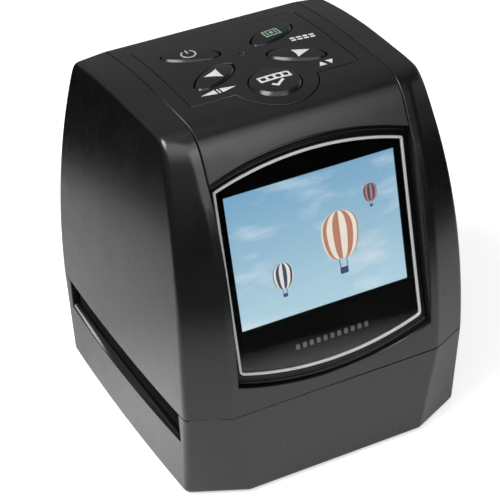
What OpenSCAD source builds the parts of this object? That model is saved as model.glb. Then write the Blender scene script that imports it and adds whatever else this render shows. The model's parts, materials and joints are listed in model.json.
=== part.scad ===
// Desktop scanner for 35 mm film strips and slides.
// +X to the right, +Y to the back, +Z up, millimetres.
// The origin is on the surface that the feet stand on, under the middle of the body.

/* [Body] */
// Width across the widest part of the sides
body_w = 86.5; // [82:0.5:96]
// Depth at the joint between base and housing
body_d = 86.5; // [82:0.5:96]
// Height of the top cover above the table
body_h = 103.5; // [101:0.5:115]
// Height of the joint between base and housing
joint_z = 27.7; // [26:0.1:30]
// Gap between the underside and the table
foot_proud = 1.0; // [0.6:0.1:2]
// Thickness of the moulded walls
wall = 2.4; // [2:0.1:2.8]
// Clearance between pieces that are assembled together
fit_gap = 0.1; // [0.05:0.01:0.15]

/* [Body shape] */
// How far the front leans back by the top fold
front_lean = 11.1; // [8:0.1:12]
// Share of the front's lean that bends in late
front_late = 0.255; // [0:0.005:0.5]
// How far the back leans in by the top fold
back_lean = 7.3; // [5:0.1:9]
// How far the sides lean in by the top
side_lean = 6.34; // [4:0.02:8]
// Fall of the top towards its back edge
top_fall = 2.4; // [1:0.1:3]
// Height taken by the front and back folds below the top
fold_h = 13.5; // [12:0.1:15]
// Angle that the front corners turn back, seen from above
corner_turn = 25.6; // [20:0.2:30]
// Fall of the top beside the cover band, in degrees
crown_angle = 6; // [4:0.5:8]
// Radius of the sides' bulge, seen from above
bulge_r = 800; // [500:50:1500]
// Depth of the bevel on the back corners
rear_bevel = 2.4; // [1.5:0.1:3]
// Draft of the base's front and back, from joint to underside
base_draft = 1.05; // [0.5:0.05:2]

/* [Cover band] */
// Width of the top cover and of the window's recess
band_w = 57.2; // [54:0.2:60]
// Thickness of the top cover and the rear panel
band_t = 2.0; // [1.8:0.1:2.2]
// Height of the seam between top cover and rear panel
band_seam_z = 86; // [80:1:88]
// Width of the ledge under each edge of the cover
ledge_w = 4.6; // [3:0.1:6]

/* [Window] */
// Depth of the window below the cover's front edge
window_sink = 1.3; // [0.8:0.1:1.6]
// Distance up the window from the joint to the recess
window_low = 4.2; // [3.6:0.1:5]
// Radius of the bowed lower and arched upper edges
window_arch_r = 88; // [70:1:120]
// Width of the black bezel at the sides
bezel_w = 1.4; // [1.2:0.1:2.4]
// Width of the silver outline
trim_w = 0.8; // [0.6:0.1:1.2]
// Thickness of the window pane and bezel
pane_t = 1.6; // [1.2:0.1:2]
// Width of the display's picture
picture_w = 48.96; // [44:0.02:50]
// Height of the display's picture
picture_h = 36.72; // [32:0.02:38]
// Distance from the window's top down to the picture's middle
picture_drop = 25.87; // [24:0.01:28]

/* [Film slot] */
// Clear height of the slot
slot_h = 8.7; // [7:0.1:10]
// Distance from the front face to the slot
slot_front = 8.95; // [8:0.05:11]
// Distance from the back face to the slot
slot_back = 5.75; // [5.5:0.05:8]
// Step from the slot's mouth in to the guide rails
rail_step = 3.1; // [2.9:0.1:4]
// Length of the light window in the film gate
gate_l = 40; // [36:1:42]
// Width of the light window in the film gate
gate_w = 28; // [24:1:30]
// Thickness of the film deck and the upper gate
gate_t = 2.0; // [1.6:0.1:2.4]

/* [Buttons] */
// Width of the keypad panel
keypad_w = 48; // [46:0.5:50]
// Distance from the panel's front edge to its back edge
keypad_d = 36.6; // [35:0.1:38]
// Place of the panel's back edge
keypad_back_y = 22.7; // [22:0.1:23.5]
// Half length of the oval keys
oval_a = 7.7; // [7:0.05:8]
// Half width of the oval keys
oval_b = 3.4; // [3.2:0.05:3.9]
// Distance of the oval keys from the middle
key_x = 11.9; // [11.5:0.1:13]
// Place of the back pair of oval keys
key_back_y = 11.7; // [11.2:0.1:12.6]
// Place of the front pair of oval keys
key_front_y = -2.4; // [-2.8:0.1:-1.6]
// Tilt of the back pair of oval keys
key_back_tilt = 25.5; // [18:0.5:30]
// Tilt of the front pair of oval keys
key_front_tilt = 32; // [28:1:38]
// Radius of the scan key
scan_r = 6.65; // [6:0.05:7.2]
// Place of the scan key
scan_y = -13; // [-13.6:0.1:-12.4]
// Height of the oval keys above the panel
key_proud = 0.7; // [0.6:0.1:1.1]
// Height of the scan key above the panel
scan_proud = 1.0; // [0.6:0.1:1.2]
// Travel of the keys
key_travel = 0.6; // [0.3:0.1:0.7]
// Clearance round the keys
key_gap = 0.4; // [0.25:0.05:0.5]
// Place of the status light
light_y = 5.1; // [4.6:0.1:5.8]
// Radius of the status light
light_r = 0.9; // [0.6:0.1:1.2]

/* [Inside] */
// Thickness of the circuit boards
board_t = 1.6; // [1:0.1:1.6]
// Height of the backlight board
backlight_z = 5; // [4.6:0.1:5.4]
// Distance of the main board below the top
main_drop = 33.5; // [32:0.1:35]
// Distance of the keypad board below the top
keypad_drop = 11.1; // [11:0.1:12]
// Distance of the sensor board below the main board
sensor_drop = 10; // [8:0.1:12]
// Radius of the lens barrel
barrel_r = 7; // [6:0.1:8]
// Travel of the film detent pins
detent_travel = 0.9; // [0.5:0.1:1]
// Radius of the detent pins
detent_r = 1.6; // [1.2:0.1:2]

/* [Fasteners and feet] */
// Radius of the base screws' shanks
base_screw_r = 1.2; // [1:0.05:1.3]
// Radius of the small screws' shanks
small_screw_r = 0.9; // [0.8:0.05:1]
// Distance of the base screws in from the widest side
screw_inset = 10.25; // [9.5:0.05:11]
// Radius of the rubber feet
foot_r = 4.2; // [3.5:0.1:4.8]
// Depth of the pockets that hold the feet
foot_seat = 0.8; // [0.5:0.1:1]

/* [Hidden] */
$fn = 48;

half_w = body_w / 2;
half_d = body_d / 2;
far = 60;                                  // beyond the body on every side
headroom = 20;
sky = body_h + headroom;                   // above the body
under = -5;                                // below the body
fold_z = body_h - fold_h;                  // where the folds begin
lean_rise = 4.3;                           // upright stretch of front and back above the joint
side_rise = 1.3;                           // and of the sides
lean_z = joint_z + lean_rise;
side_z = joint_z + side_rise;
half_band = band_w / 2;
fold_gap = 2.4;                            // from the cover band to the front corners' fold
fold_x = half_band + fold_gap;
slot_z = joint_z - slot_h;                 // film deck's top
slot_y0 = slot_front - half_d;
slot_y1 = half_d - slot_back;
rail_y0 = slot_y0 + rail_step;             // inner faces of the guide rails
rail_y1 = slot_y1 - rail_step;
rail_back_w = 2.0;                         // rail behind the slot's mouth
guide_y0 = slot_y0 - rail_back_w;
guide_y1 = slot_y1 + rail_back_w;
optic_y = (slot_y0 + slot_y1) / 2;         // the optical axis
deck_z = slot_z - gate_t;                  // film deck's underside
screw_x = half_w - screw_inset;
screw_y0 = (guide_y0 + rail_y0) / 2;
screw_y1 = (guide_y1 + rail_y1) / 2;

// ---------------------------------------------------------------- outline formulas

function front_y(z) =
    let (t = max(0, (z - lean_z) / (fold_z - lean_z)))
    -half_d + front_lean * ((1 - front_late) * t * t + front_late * pow(t, 4));
function back_y(z) =
    let (t = max(0, (z - lean_z) / (fold_z - lean_z)))
    half_d - back_lean * t * t;
function side_x(z) =
    let (t = max(0, (z - side_z) / (body_h - side_z)))
    half_w - side_lean * t * t - base_draft * max(0, side_z - z) / side_z / 2;
function top_z(y) = body_h - (y > 0 ? top_fall * pow(y / fold_back_y, 2) : 0);
front_fold_l = 20.2;                       // length of the folds along Y
back_fold_l = 7.45;
fold_back_y = half_d - back_lean - back_fold_l;
fold_front_y = half_d - front_lean - front_fold_l;
front_reach = [14.3, 14.5];                // straight run of the front fold at its ends
back_reach = 4.6;                          // and of the back fold

// Points of a cubic curve, without its first point
function bend(a, b, c, d, n) = [
    for (i = [1:n])
        let (t = i / n, s = 1 - t)
        s * s * s * a + 3 * s * s * t * b + 3 * s * t * t * c + t * t * t * d
];
function unit(v) = v / norm(v);
front_slope = unit([2 * front_lean * (1 + front_late) / (fold_z - lean_z), 1]);
back_slope = unit([-2 * back_lean / (fold_z - lean_z), 1]);

base_front = [for (z = [foot_proud, joint_z]) [-half_d + base_draft * (joint_z - z) / joint_z, z]];
front_rise = [for (i = [0:8]) let (z = lean_z + (fold_z - lean_z) * i / 8) [front_y(z), z]];
front_fold = bend(
    [front_y(fold_z), fold_z],
    [front_y(fold_z), fold_z] + front_reach[0] * front_slope,
    [-fold_front_y - front_reach[1], body_h],
    [-fold_front_y, body_h], 7);
top_run = [for (i = [0:5]) let (y = fold_back_y * i / 5) [y, top_z(y)]];
top_end = [fold_back_y, top_z(fold_back_y)];
back_fold = bend(
    top_end,
    top_end + back_reach * unit([fold_back_y, -2 * top_fall]),
    [back_y(fold_z), fold_z] + back_reach * back_slope,
    [back_y(fold_z), fold_z], 6);
back_fall = [for (i = [7:-1:0]) let (z = lean_z + (fold_z - lean_z) * i / 8) [back_y(z), z]];
base_back = [for (z = [joint_z, foot_proud]) [half_d - base_draft * (joint_z - z) / joint_z, z]];

body_side = concat(base_front, front_rise, front_fold, top_run, back_fold, back_fall, base_back);

// The same outline moved inwards by d all round
function inward(a, b) = let (u = unit(b - a)) [u[1], -u[0]];
function inset(p, d) = [
    for (i = [0:len(p) - 1])
        let (
            a = p[(i + len(p) - 1) % len(p)],
            c = p[(i + 1) % len(p)],
            m = inward(a, p[i]),
            n = inward(p[i], c)
        )
        p[i] + d * (m + n) / (1 + m * n)
];
function shrink_y(p, k) = [for (q = p) [q[0] * k, q[1]]];
function shrink_z(p, k) = [for (q = p) [q[0], q[1] * k]];

// ---------------------------------------------------------------- body blocks

// An outline drawn in Y and Z, extruded along X
module along_x(points, x0, x1) {
    translate([x0, 0, 0])
        rotate([90, 0, 90])
            linear_extrude(height = x1 - x0) polygon(points);
}

// An outline drawn in X and Z, extruded along Y
module along_y(points, y0, y1) {
    translate([0, y1, 0])
        rotate([90, 0, 0])
            linear_extrude(height = y1 - y0) polygon(points);
}

// A block between two corners
module block(low, high) {
    translate(low) cube(high - low);
}

module both_sides() {
    children();
    mirror([1, 0, 0]) children();
}

// The body's side outline, as wide as asked for
module side_block(d, half = far) {
    along_x(inset(body_side, d), -half, half);
}

// A front corner: the front outline carried on at an angle beyond the fold
corner_draft = 2.2;                        // more draft of the base at its front corners
corner_slant = (base_draft + corner_draft) / (joint_z - foot_proud);
corner_side = concat(
    [[corner_slant * (joint_z - under) - half_d, under]],
    [base_front[1]], front_rise, front_fold,
    [[half_d / 2, sky], [2 * far, sky], [2 * far, under]]);

module corner_block(d) {
    k = cos(corner_turn);
    translate([fold_x, 0, 0])
        rotate([0, 0, corner_turn])
            along_x(inset(shrink_y(corner_side, k), d), -2 * far, 2 * far);
}

// The top beside the cover band falls away to the sides
crown_run = 45;                            // length of the straight run-outs below the folds
crown_side = concat(
    [[front_y(fold_z), fold_z] - crown_run * front_slope],
    [[front_y(fold_z), fold_z]], front_fold, top_run, back_fold,
    [[back_y(fold_z), fold_z] - crown_run * back_slope],
    [[2 * far, -20], [-2 * far, -20]]);

module crown_block(d) {
    k = cos(crown_angle);
    translate([half_band, 0, 0])
        rotate([0, crown_angle, 0])
            along_x(inset(shrink_z(crown_side, k), d), -2 * far, 2 * far);
}

// One side of the body: leaning in towards the top and bulging a little, seen from above
flank_y = 5;                               // where the bulge is widest
flank_top = body_h + 4;
flank_steps = 7;                           // its breaks lie between those of front and back
flank_edge = concat(
    [[side_x(under), under]],
    [for (i = [0:flank_steps])
        let (z = side_z + (flank_top - side_z) * i / flank_steps) [side_x(z), z]],
    [[side_x(sky), sky]]);

module flank_block(d) {
    rim = [for (p = flank_edge) [bulge_r - half_w + p[0] - d, p[1]]];
    translate([half_w - bulge_r, flank_y, 0])
        rotate([0, 0, -5])
            rotate_extrude(angle = 10, $fn = 1080)
                polygon(concat(rim, [[bulge_r - 3 * far, sky], [bulge_r - 3 * far, under]]));
}

// Bevelled back corner
rear_steps = 5;
rear_edge = [for (z = concat(
        [under, joint_z],
        [for (i = [0:rear_steps]) lean_z + (fold_z - lean_z) * i / rear_steps],
        [sky]))
    [(side_x(z) + back_y(z) - rear_bevel) / sqrt(2), z]];

module rear_corner_block(d) {
    rotate([0, 0, 45])
        along_y(
            concat([for (p = rear_edge) [p[0] - d, p[1]]], [[-2 * far, sky], [-2 * far, under]]),
            -2 * far, 2 * far);
}

// The whole body, every wall moved inwards by d
module envelope(d) {
    intersection() {
        side_block(d);
        corner_block(d);
        mirror([1, 0, 0]) corner_block(d);
        crown_block(d);
        mirror([1, 0, 0]) crown_block(d);
        flank_block(d);
        mirror([1, 0, 0]) flank_block(d);
        rear_corner_block(d);
        mirror([1, 0, 0]) rear_corner_block(d);
    }
}

// ---------------------------------------------------------------- window frame of reference

window_drop = 10.4;                        // from the top cover down to the silver outline
window_top_z = body_h - window_drop;
window_tilt = atan2(
    front_y(window_top_z) + window_sink + half_d, window_top_z - joint_z);
window_len = (window_top_z - joint_z) / cos(window_tilt);
recess_gap = 2.3;                          // bezel above the silver outline's top
recess_top = window_len + recess_gap;      // arched upper edge of the recess, at its middle
picture_mid = window_len - picture_drop;   // the picture's middle, up the window

// X stays X, Y runs up the window and Z points out of it; the pane's face is at Z = 0
module on_window() {
    translate([0, -half_d, joint_z]) rotate([90 - window_tilt, 0, 0]) children();
}

// The window's outline, smaller by d at the sides and by e at top and bottom
module window_shape(d, e, n0, n1) {
    intersection() {
        block([d - half_band, 0, n0], [half_band - d, 2 * body_h, n1]);
        translate([0, window_low + e + window_arch_r, n0])
            cylinder(r = window_arch_r, h = n1 - n0, $fn = 240);
        translate([0, recess_top - e - window_arch_r, n0])
            cylinder(r = window_arch_r, h = n1 - n0, $fn = 240);
    }
}

bezel_e = 2.9;                             // bezel's width at top and bottom
lens_ledge_t = 1.6;                        // ledge that carries pane, bezel and display
picture_gap = 0.3;                         // round the picture, in the housing's ledge
lcd_rim_w = 10;                            // display beyond its picture, both sides together
lcd_rim_h = 6.3;
lcd_w = picture_w + lcd_rim_w;
lcd_h = picture_h + lcd_rim_h;
lcd_t = 2.4;
lcd_post_r = 2.2;
lcd_screw_x = lcd_w / 2 + lcd_post_r + 0.6;
lcd_screw_pitch = 28;                      // between the lower and the upper pair
lcd_screw_s = [picture_mid - lcd_screw_pitch / 2, picture_mid + lcd_screw_pitch / 2];
ledge_back = -pane_t - lens_ledge_t;
lcd_back = ledge_back - lcd_t;
frame_t = 1.0;                             // the display's rear frame

module at_lcd_screws() {
    for (x = [-lcd_screw_x, lcd_screw_x], s = lcd_screw_s)
        translate([x, s, 0]) children();
}

// ---------------------------------------------------------------- base

foot_inset = 9.25;                         // feet in from the sides, the front and the back
foot_inset_front = 20.25;
foot_inset_back = 16.25;
foot_x = half_w - foot_inset;
foot_y = [foot_inset_front - half_d, half_d - foot_inset_back];
foot_edge = 0.5;                           // bevel round the feet
bore_gap = 0.2;
base_floor = foot_proud + wall;
boss_root = foot_proud + 1;                // the bosses start inside the floor
screw_head_z = 11;                         // where the base screws' heads seat
screw_well_r = 2.6;
base_boss_r = 3.5;
upper_boss_r = 3;
upper_boss_h = 10.3;
screw_end_gap = 2;                         // from the screw's end to the boss's end
light_rim = 10;                            // light box and diffuser beyond the light window
light_l = gate_l + light_rim;
light_w = gate_w + light_rim;
light_wall = 1.5;
diffuser_t = 2;
light_post_r = 2;
light_peg_r = 0.8;
light_board_rim = 3;
led_grid = [12, 6];                        // pitch of the LEDs along X and half of it along Y
led_size = [3.5, 2.8, 1.9];
led_lens = [1.1, 0.4];                     // radius and depth of the LEDs' lenses
detent_inset = 4.3;
detent_y0 = rail_y0 + detent_inset;
detent_y1 = rail_y1 - detent_inset;
detent_gap = 0.15;
spring_z = 8;                              // bottom of the detent springs
spring_cup = [2.4, 1, 3.4];                // inner radius, depth and outer radius of their cups
flange_t = 0.8;
flange_rim = 0.9;
flange_z = deck_z - 2.5;                   // underside of the detent pins' flanges
lip_run = 2;                               // lead-in on the slot's lower lip
lip_fall = 1.9;
vent_w = 1.6;                              // cooling slots in the underside
vent_l = 18;
vent_pitch = 4;

module at_base_screws() {
    for (x = [-screw_x, screw_x], y = [screw_y0, screw_y1])
        translate([x, y, 0]) children();
}

module at_feet() {
    for (x = [-foot_x, foot_x], y = foot_y)
        translate([x, y, 0]) children();
}

module at_light_posts() {
    for (x = [-light_l / 2, light_l / 2], y = [-light_w / 2, light_w / 2])
        translate([x, optic_y + y, 0]) children();
}

module at_detents() {
    for (y = [detent_y0, detent_y1])
        translate([0, y, 0]) children();
}

// A block round the optical axis
module optic_block(l, w, z0, z1) {
    block([-l / 2, optic_y - w / 2, z0], [l / 2, optic_y + w / 2, z1]);
}

module base_housing() {
    color([0.12, 0.12, 0.125])
    difference() {
        union() {
            difference() {
                envelope(0);
                envelope(wall);
                block([-far, -far, joint_z], [far, far, sky]);
            }
            at_base_screws()
                translate([0, 0, boss_root]) cylinder(r = base_boss_r, h = deck_z - boss_root);
            at_light_posts()
                translate([0, 0, boss_root]) cylinder(r = light_post_r, h = backlight_z - boss_root);
            at_detents()
                translate([0, 0, boss_root])
                    cylinder(r = spring_cup[2], h = spring_z + spring_cup[1] - boss_root);
        }
        // the film slot's mouths, with a lead-in on the lower lip
        block([-far, slot_y0, slot_z], [far, slot_y1, joint_z + 1]);
        both_sides()
            along_y([[half_w - lip_run, slot_z], [half_w + 1, slot_z - lip_fall], [half_w + 1, slot_z]],
                slot_y0, slot_y1);
        at_base_screws() {
            translate([0, 0, -1]) cylinder(r = screw_well_r, h = screw_head_z + 1);
            translate([0, 0, -1]) cylinder(r = base_screw_r + bore_gap, h = joint_z);
        }
        at_feet() cylinder(r = foot_r + fit_gap, h = foot_proud + foot_seat);
        at_detents() translate([0, 0, spring_z]) cylinder(r = spring_cup[0], h = 2 * spring_cup[1]);
        for (i = [-3:3])
            translate([0, i * vent_pitch, 0]) optic_block(vent_l, vent_w, -1, base_floor + 1);
    }
}

module rubber_feet() {
    h = foot_proud + foot_seat;
    color([0.05, 0.05, 0.05])
    at_feet()
        rotate_extrude()
            polygon([[0, 0], [foot_r - foot_edge, 0], [foot_r, foot_edge], [foot_r, h], [0, h]]);
}

// A pan-head screw; its head's seat is at the origin and its shank points up
module screw(r, length, head_r, head_h) {
    slot = [head_r * 1.2, r * 0.4, head_h * 0.6];
    difference() {
        union() {
            translate([0, 0, -head_h]) cylinder(r = head_r, h = head_h);
            cylinder(r = r, h = length);
        }
        for (a = [0, 90])
            rotate([0, 0, a])
                translate([-slot[0] / 2, -slot[1] / 2, -head_h - 0.1]) cube(slot + [0, 0, 0.1]);
    }
}

small_head = [1.9, 1.0];                   // radius and height of the small screws' heads
base_head = [2.3, 1.4];
board_screw_l = 5.5;

module small_screw(length) {
    screw(small_screw_r, length, small_head[0], small_head[1]);
}

// A screw that holds a board down, driven from above
module board_screw(z) {
    translate([0, 0, z + board_t]) rotate([180, 0, 0]) small_screw(board_screw_l);
}

module base_screws() {
    length = joint_z + upper_boss_h - screw_end_gap - screw_head_z;
    color([0.55, 0.55, 0.57])
    at_base_screws()
        translate([0, 0, screw_head_z]) screw(base_screw_r, length, base_head[0], base_head[1]);
}

module backlight_board() {
    rim = 2 * light_board_rim;
    color([0.85, 0.86, 0.84])
    difference() {
        optic_block(light_l + rim, light_w + rim, backlight_z, backlight_z + board_t);
        at_light_posts() cylinder(r = light_peg_r, h = joint_z);
    }
}

module backlight_leds() {
    z0 = backlight_z + board_t;
    z1 = z0 + led_size[2];
    color([0.95, 0.9, 0.6])
    for (i = [-1:1], j = [-1, 1])
        translate([i * led_grid[0], j * led_grid[1], 0])
            difference() {
                optic_block(led_size[0], led_size[1], z0, z1);
                translate([0, optic_y, z1 - led_lens[1]]) cylinder(r = led_lens[0], h = 1);
            }
}

module light_box() {
    z0 = backlight_z + board_t;
    z1 = deck_z - diffuser_t;
    color([0.93, 0.93, 0.93])
    difference() {
        optic_block(light_l, light_w, z0, z1);
        optic_block(light_l - 2 * light_wall, light_w - 2 * light_wall, z0 - 1, z1 + 1);
    }
}

module diffuser() {
    color([0.96, 0.96, 0.94]) optic_block(light_l, light_w, deck_z - diffuser_t, deck_z);
}

flare_l = 6;                               // flared ends of the guide rails
collar_r = 3;                              // collars under the deck that guide the detent pins
collar_h = 1.5;

module film_guide() {
    color([0.08, 0.08, 0.085])
    difference() {
        union() {
            intersection() {
                union() {
                    block([-far, guide_y0, deck_z], [far, guide_y1, slot_z]);
                    block([-far, guide_y0, deck_z], [far, rail_y0, joint_z]);
                    block([-far, rail_y1, deck_z], [far, guide_y1, joint_z]);
                }
                envelope(wall + fit_gap);
            }
            at_detents() translate([0, 0, deck_z - collar_h]) cylinder(r = collar_r, h = collar_h + 0.5);
        }
        optic_block(gate_l, gate_w, 0, joint_z - 1);
        at_base_screws() cylinder(r = base_screw_r + bore_gap, h = body_h);
        at_detents() cylinder(r = detent_r + detent_gap, h = joint_z);
        // flared mouths lead the film holder in between the rails
        both_sides()
            translate([half_w - wall - flare_l - 1, 0, slot_z])
                linear_extrude(height = slot_h + 1) {
                    polygon([[0, rail_y0 + 0.1], [flare_l + 2, rail_y0 + 0.1], [flare_l + 2, slot_y0],
                        [flare_l, slot_y0], [0, rail_y0]]);
                    polygon([[0, rail_y1 - 0.1], [flare_l + 2, rail_y1 - 0.1], [flare_l + 2, slot_y1],
                        [flare_l, slot_y1], [0, rail_y1]]);
                }
    }
}

// A round-nosed pin that clicks into the film holder's notches
pin_tail = [0.4, 1.3];                     // step in radius and length, inside the spring

module detent_pin() {
    tip_z = slot_z + detent_travel - 0.1;
    nose_r = detent_r * 1.5;
    union() {
        intersection() {
            translate([0, 0, flange_z]) cylinder(r = detent_r, h = tip_z - flange_z);
            union() {
                translate([0, 0, tip_z - nose_r]) sphere(r = nose_r);
                translate([0, 0, flange_z - 1]) cylinder(r = 2 * detent_r, h = tip_z - nose_r - flange_z + 1);
            }
        }
        translate([0, 0, flange_z]) cylinder(r = detent_r + flange_rim, h = flange_t);
        translate([0, 0, flange_z - pin_tail[1]]) cylinder(r = detent_r - pin_tail[0], h = pin_tail[1] + 0.1);
    }
}

module front_detent() {
    color([0.8, 0.8, 0.78]) translate([0, detent_y0, 0]) detent_pin();
}

module rear_detent() {
    color([0.8, 0.8, 0.78]) translate([0, detent_y1, 0]) detent_pin();
}

// Rings of a coil, swept by functions
spring_turns = 4.5;
spring_steps = 12;                         // rings in a turn
wire_sides = 6;
wire_r = 0.22;
spring_r = detent_r + 0.25;
spring_h = flange_z - spring_z - 0.1;

function coil_point(i, j) =
    let (
        n = spring_turns * spring_steps,
        a = 360 * i / spring_steps,
        b = 360 * j / wire_sides,
        r = spring_r + wire_r * cos(b)
    )
    [r * cos(a), r * sin(a), wire_r + (spring_h - 2 * wire_r) * i / n + wire_r * sin(b)];

module coil_spring() {
    n = spring_turns * spring_steps;
    m = wire_sides;
    polyhedron(
        points = [for (i = [0:n], j = [0:m - 1]) coil_point(i, j)],
        faces = concat(
            [[for (j = [0:m - 1]) j]],
            [for (i = [0:n - 1], j = [0:m - 1])
                [i * m + j, (i + 1) * m + j, (i + 1) * m + (j + 1) % m, i * m + (j + 1) % m]],
            [[for (j = [m - 1:-1:0]) n * m + j]]));
}

module front_detent_spring() {
    color([0.6, 0.6, 0.62]) translate([0, detent_y0, spring_z]) coil_spring();
}

module rear_detent_spring() {
    color([0.6, 0.6, 0.62]) translate([0, detent_y1, spring_z]) coil_spring();
}

// ---------------------------------------------------------------- optics

gate_top = joint_z + gate_t;
main_z = body_h - main_drop;
sensor_z = main_z - sensor_drop;
hood_rim = 8;                              // hood beyond the light window
hood_l = gate_l + hood_rim;
hood_w = gate_w + hood_rim;
hood_wall = 1.6;
hood_gap = 14;                             // from the hood's top to the sensor board
hood_top = sensor_z - hood_gap;
hood_root = 1;                             // posts and collar start inside the hood's roof
glass_t = 1;
sensor_half = 16;
sensor_post = 12.5;
sensor_post_r = 2.2;
sensor_size = [11, 10, 1.2];
sensor_die = [7, 5.6, 0.4];
barrel_wall = 1.8;
barrel_lip = [3, 1];                       // inward reach and height of the barrel's upper lip
barrel_z0 = hood_top - 4;
barrel_z1 = sensor_z - 3;
collar_wall = 2;
collar_rise = 5;
collar_top = hood_top + collar_rise;
lens_t = 3;
lens_seat = [0.5, 4.2];                    // lenses' distance in from the barrel's ends
front_dome_r = 14;
rear_dome_r = 16;
web_half = 1;                              // half the thickness of the screw bosses' webs

module upper_gate() {
    color([0.08, 0.08, 0.085])
    difference() {
        intersection() {
            block([-far, guide_y0, joint_z], [far, guide_y1, gate_top]);
            envelope(wall + fit_gap);
        }
        optic_block(gate_l, gate_w, 0, sky);
        at_base_screws() cylinder(r = upper_boss_r + fit_gap, h = body_h);
        // clearance for the webs that carry the screw bosses
        both_sides()
            for (y = [[-far, screw_y0], [screw_y1, far]])
                block([screw_x - web_half - bore_gap, y[0], joint_z - 1],
                    [screw_x + web_half + bore_gap, y[1], sky]);
    }
}

module gate_glass() {
    in = 2 * (hood_wall + fit_gap);
    color([0.8, 0.95, 0.9, 0.4])
    optic_block(hood_l - in, hood_w - in, gate_top, gate_top + glass_t);
}

module at_sensor_posts() {
    for (x = [-sensor_post, sensor_post], y = [-sensor_post, sensor_post])
        translate([x, optic_y + y, 0]) children();
}

module lens_hood() {
    root_z = hood_top - hood_root;
    color([0.06, 0.06, 0.065])
    difference() {
        union() {
            optic_block(hood_l, hood_w, gate_top, hood_top);
            translate([0, optic_y, root_z]) cylinder(r = barrel_r + collar_wall, h = collar_top - root_z);
            at_sensor_posts() translate([0, 0, root_z]) cylinder(r = sensor_post_r, h = sensor_z - root_z);
        }
        optic_block(hood_l - 2 * hood_wall, hood_w - 2 * hood_wall, 0, hood_top - hood_wall);
        translate([0, optic_y, gate_top]) cylinder(r = barrel_r + fit_gap, h = body_h);
        at_sensor_posts() translate([0, 0, sensor_z - board_screw_l + 0.5])
            cylinder(r = small_screw_r + fit_gap, h = board_screw_l);
    }
}

module lens_barrel() {
    bore = barrel_r - barrel_wall;
    iris = barrel_r - barrel_lip[0];
    lip_z = barrel_z1 - barrel_lip[1];
    color([0.1, 0.1, 0.1])
    translate([0, optic_y, 0])
        rotate_extrude()
            polygon([
                [bore, barrel_z0], [barrel_r, barrel_z0], [barrel_r, barrel_z1],
                [iris, barrel_z1], [iris, lip_z], [bore, lip_z]
            ]);
}

// A lens with two domed faces
module lens_disc(r, z, dome_r, thick) {
    translate([0, optic_y, z])
        intersection() {
            cylinder(r = r, h = thick);
            translate([0, 0, thick - dome_r]) sphere(r = dome_r, $fn = 96);
            translate([0, 0, dome_r]) sphere(r = dome_r, $fn = 96);
        }
}

module lens_elements() {
    r = barrel_r - barrel_wall - fit_gap;
    color([0.7, 0.85, 0.95, 0.4]) {
        lens_disc(r, barrel_z0 + lens_seat[0], rear_dome_r, lens_t);
        lens_disc(r, barrel_z1 - lens_seat[1], front_dome_r, lens_t);
    }
}

module image_sensor() {
    color([0.25, 0.27, 0.3])
    difference() {
        optic_block(sensor_size[0], sensor_size[1], sensor_z - sensor_size[2], sensor_z);
        optic_block(sensor_die[0], sensor_die[1], sensor_z - 2 * sensor_size[2],
            sensor_z - sensor_size[2] + sensor_die[2]);
    }
}

module sensor_board() {
    color([0.1, 0.35, 0.2])
    difference() {
        optic_block(2 * sensor_half, 2 * sensor_half, sensor_z, sensor_z + board_t);
        at_sensor_posts() cylinder(r = small_screw_r + bore_gap, h = body_h);
    }
}

module sensor_screws() {
    color([0.6, 0.6, 0.62]) at_sensor_posts() board_screw(sensor_z);
}

// ---------------------------------------------------------------- housing

port_y = back_y(main_z) - band_t - 0.3;    // the sockets' faces
main_half = 36.5;
main_front = 22.25;                        // main board's edges in from front and sockets
main_back = 3.8;
main_y = [main_front - half_d, port_y - main_back];
shelf_reach = 5;                           // shelves under the main board's sides
shelf_x = main_half - shelf_reach;
shelf_w = 8;
shelf_h = 5;
shelf_front = 5;                           // shelves' middles in from the board's edges
shelf_back = 8;
shelf_y = [main_y[0] + shelf_front, main_y[1] - shelf_back];
shelf_hole_x = main_half - shelf_reach / 2;
band_foot = 3.3;                           // rear panel's lower edge above the joint
band_z0 = joint_z + band_foot;
vent_rise = 8;
vent_z = joint_z + vent_rise;
rear_vent_w = 28;
rear_vent_h = 1.5;
rear_vent_pitch = 3.4;
rear_vent_gap = 7.7;                       // clear of the sockets above
rear_vents = floor((main_z - rear_vent_gap - vent_z) / rear_vent_pitch);
open_half = half_band - ledge_w;
ledge_t = 1.6;                             // ledges under the cover's edges
ledge_front = 16.25;                       // ledges' front ends in from the front
ledge_y0 = ledge_front - half_d;
cover_reach = 12;                          // top cover's space reaches down in front
cover_front_z = window_top_z - cover_reach;
frame_top_z = window_top_z + 2;
frame_side = fold_x - 0.2;
frame_low = 3;                             // frame round the window, below its arch
lcd_ledge = [27, 2.5];                     // ledge behind the window, below the picture's middle
                                           // and above the display
post_root = 0.5;
pane_ledge = 2;                            // ledge under the pane, in from the recess

// The strip over top and back that the top cover and the rear panel fill
module band_space(grow) {
    difference() {
        intersection() {
            block([-half_band - grow, -far, band_z0 - grow], [half_band + grow, far, sky]);
            side_block(-1);
        }
        side_block(band_t + grow);
        // the front below the window's arched top belongs to the housing
        block([-far, -far, 0], [far, 0, cover_front_z]);
    }
}

module at_shelf_holes() {
    for (x = [-shelf_hole_x, shelf_hole_x], y = shelf_y)
        translate([x, y, 0]) children();
}

// Webs from the screw bosses to the front and back walls
module screw_boss_webs() {
    z1 = joint_z + upper_boss_h - screw_end_gap;
    back = back_y(joint_z) - wall / 4;
    for (x = [-screw_x, screw_x]) {
        block([x - web_half, screw_y1 + 2, joint_z], [x + web_half, back, z1]);
        block([x - web_half, wall + 0.5 - half_d, joint_z], [x + web_half, screw_y0 - 2, z1]);
    }
}

// A layer under the side outline, from depth d0 to d1
module side_layer(d0, d1) {
    difference() {
        side_block(d0);
        side_block(d1);
    }
}

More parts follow.
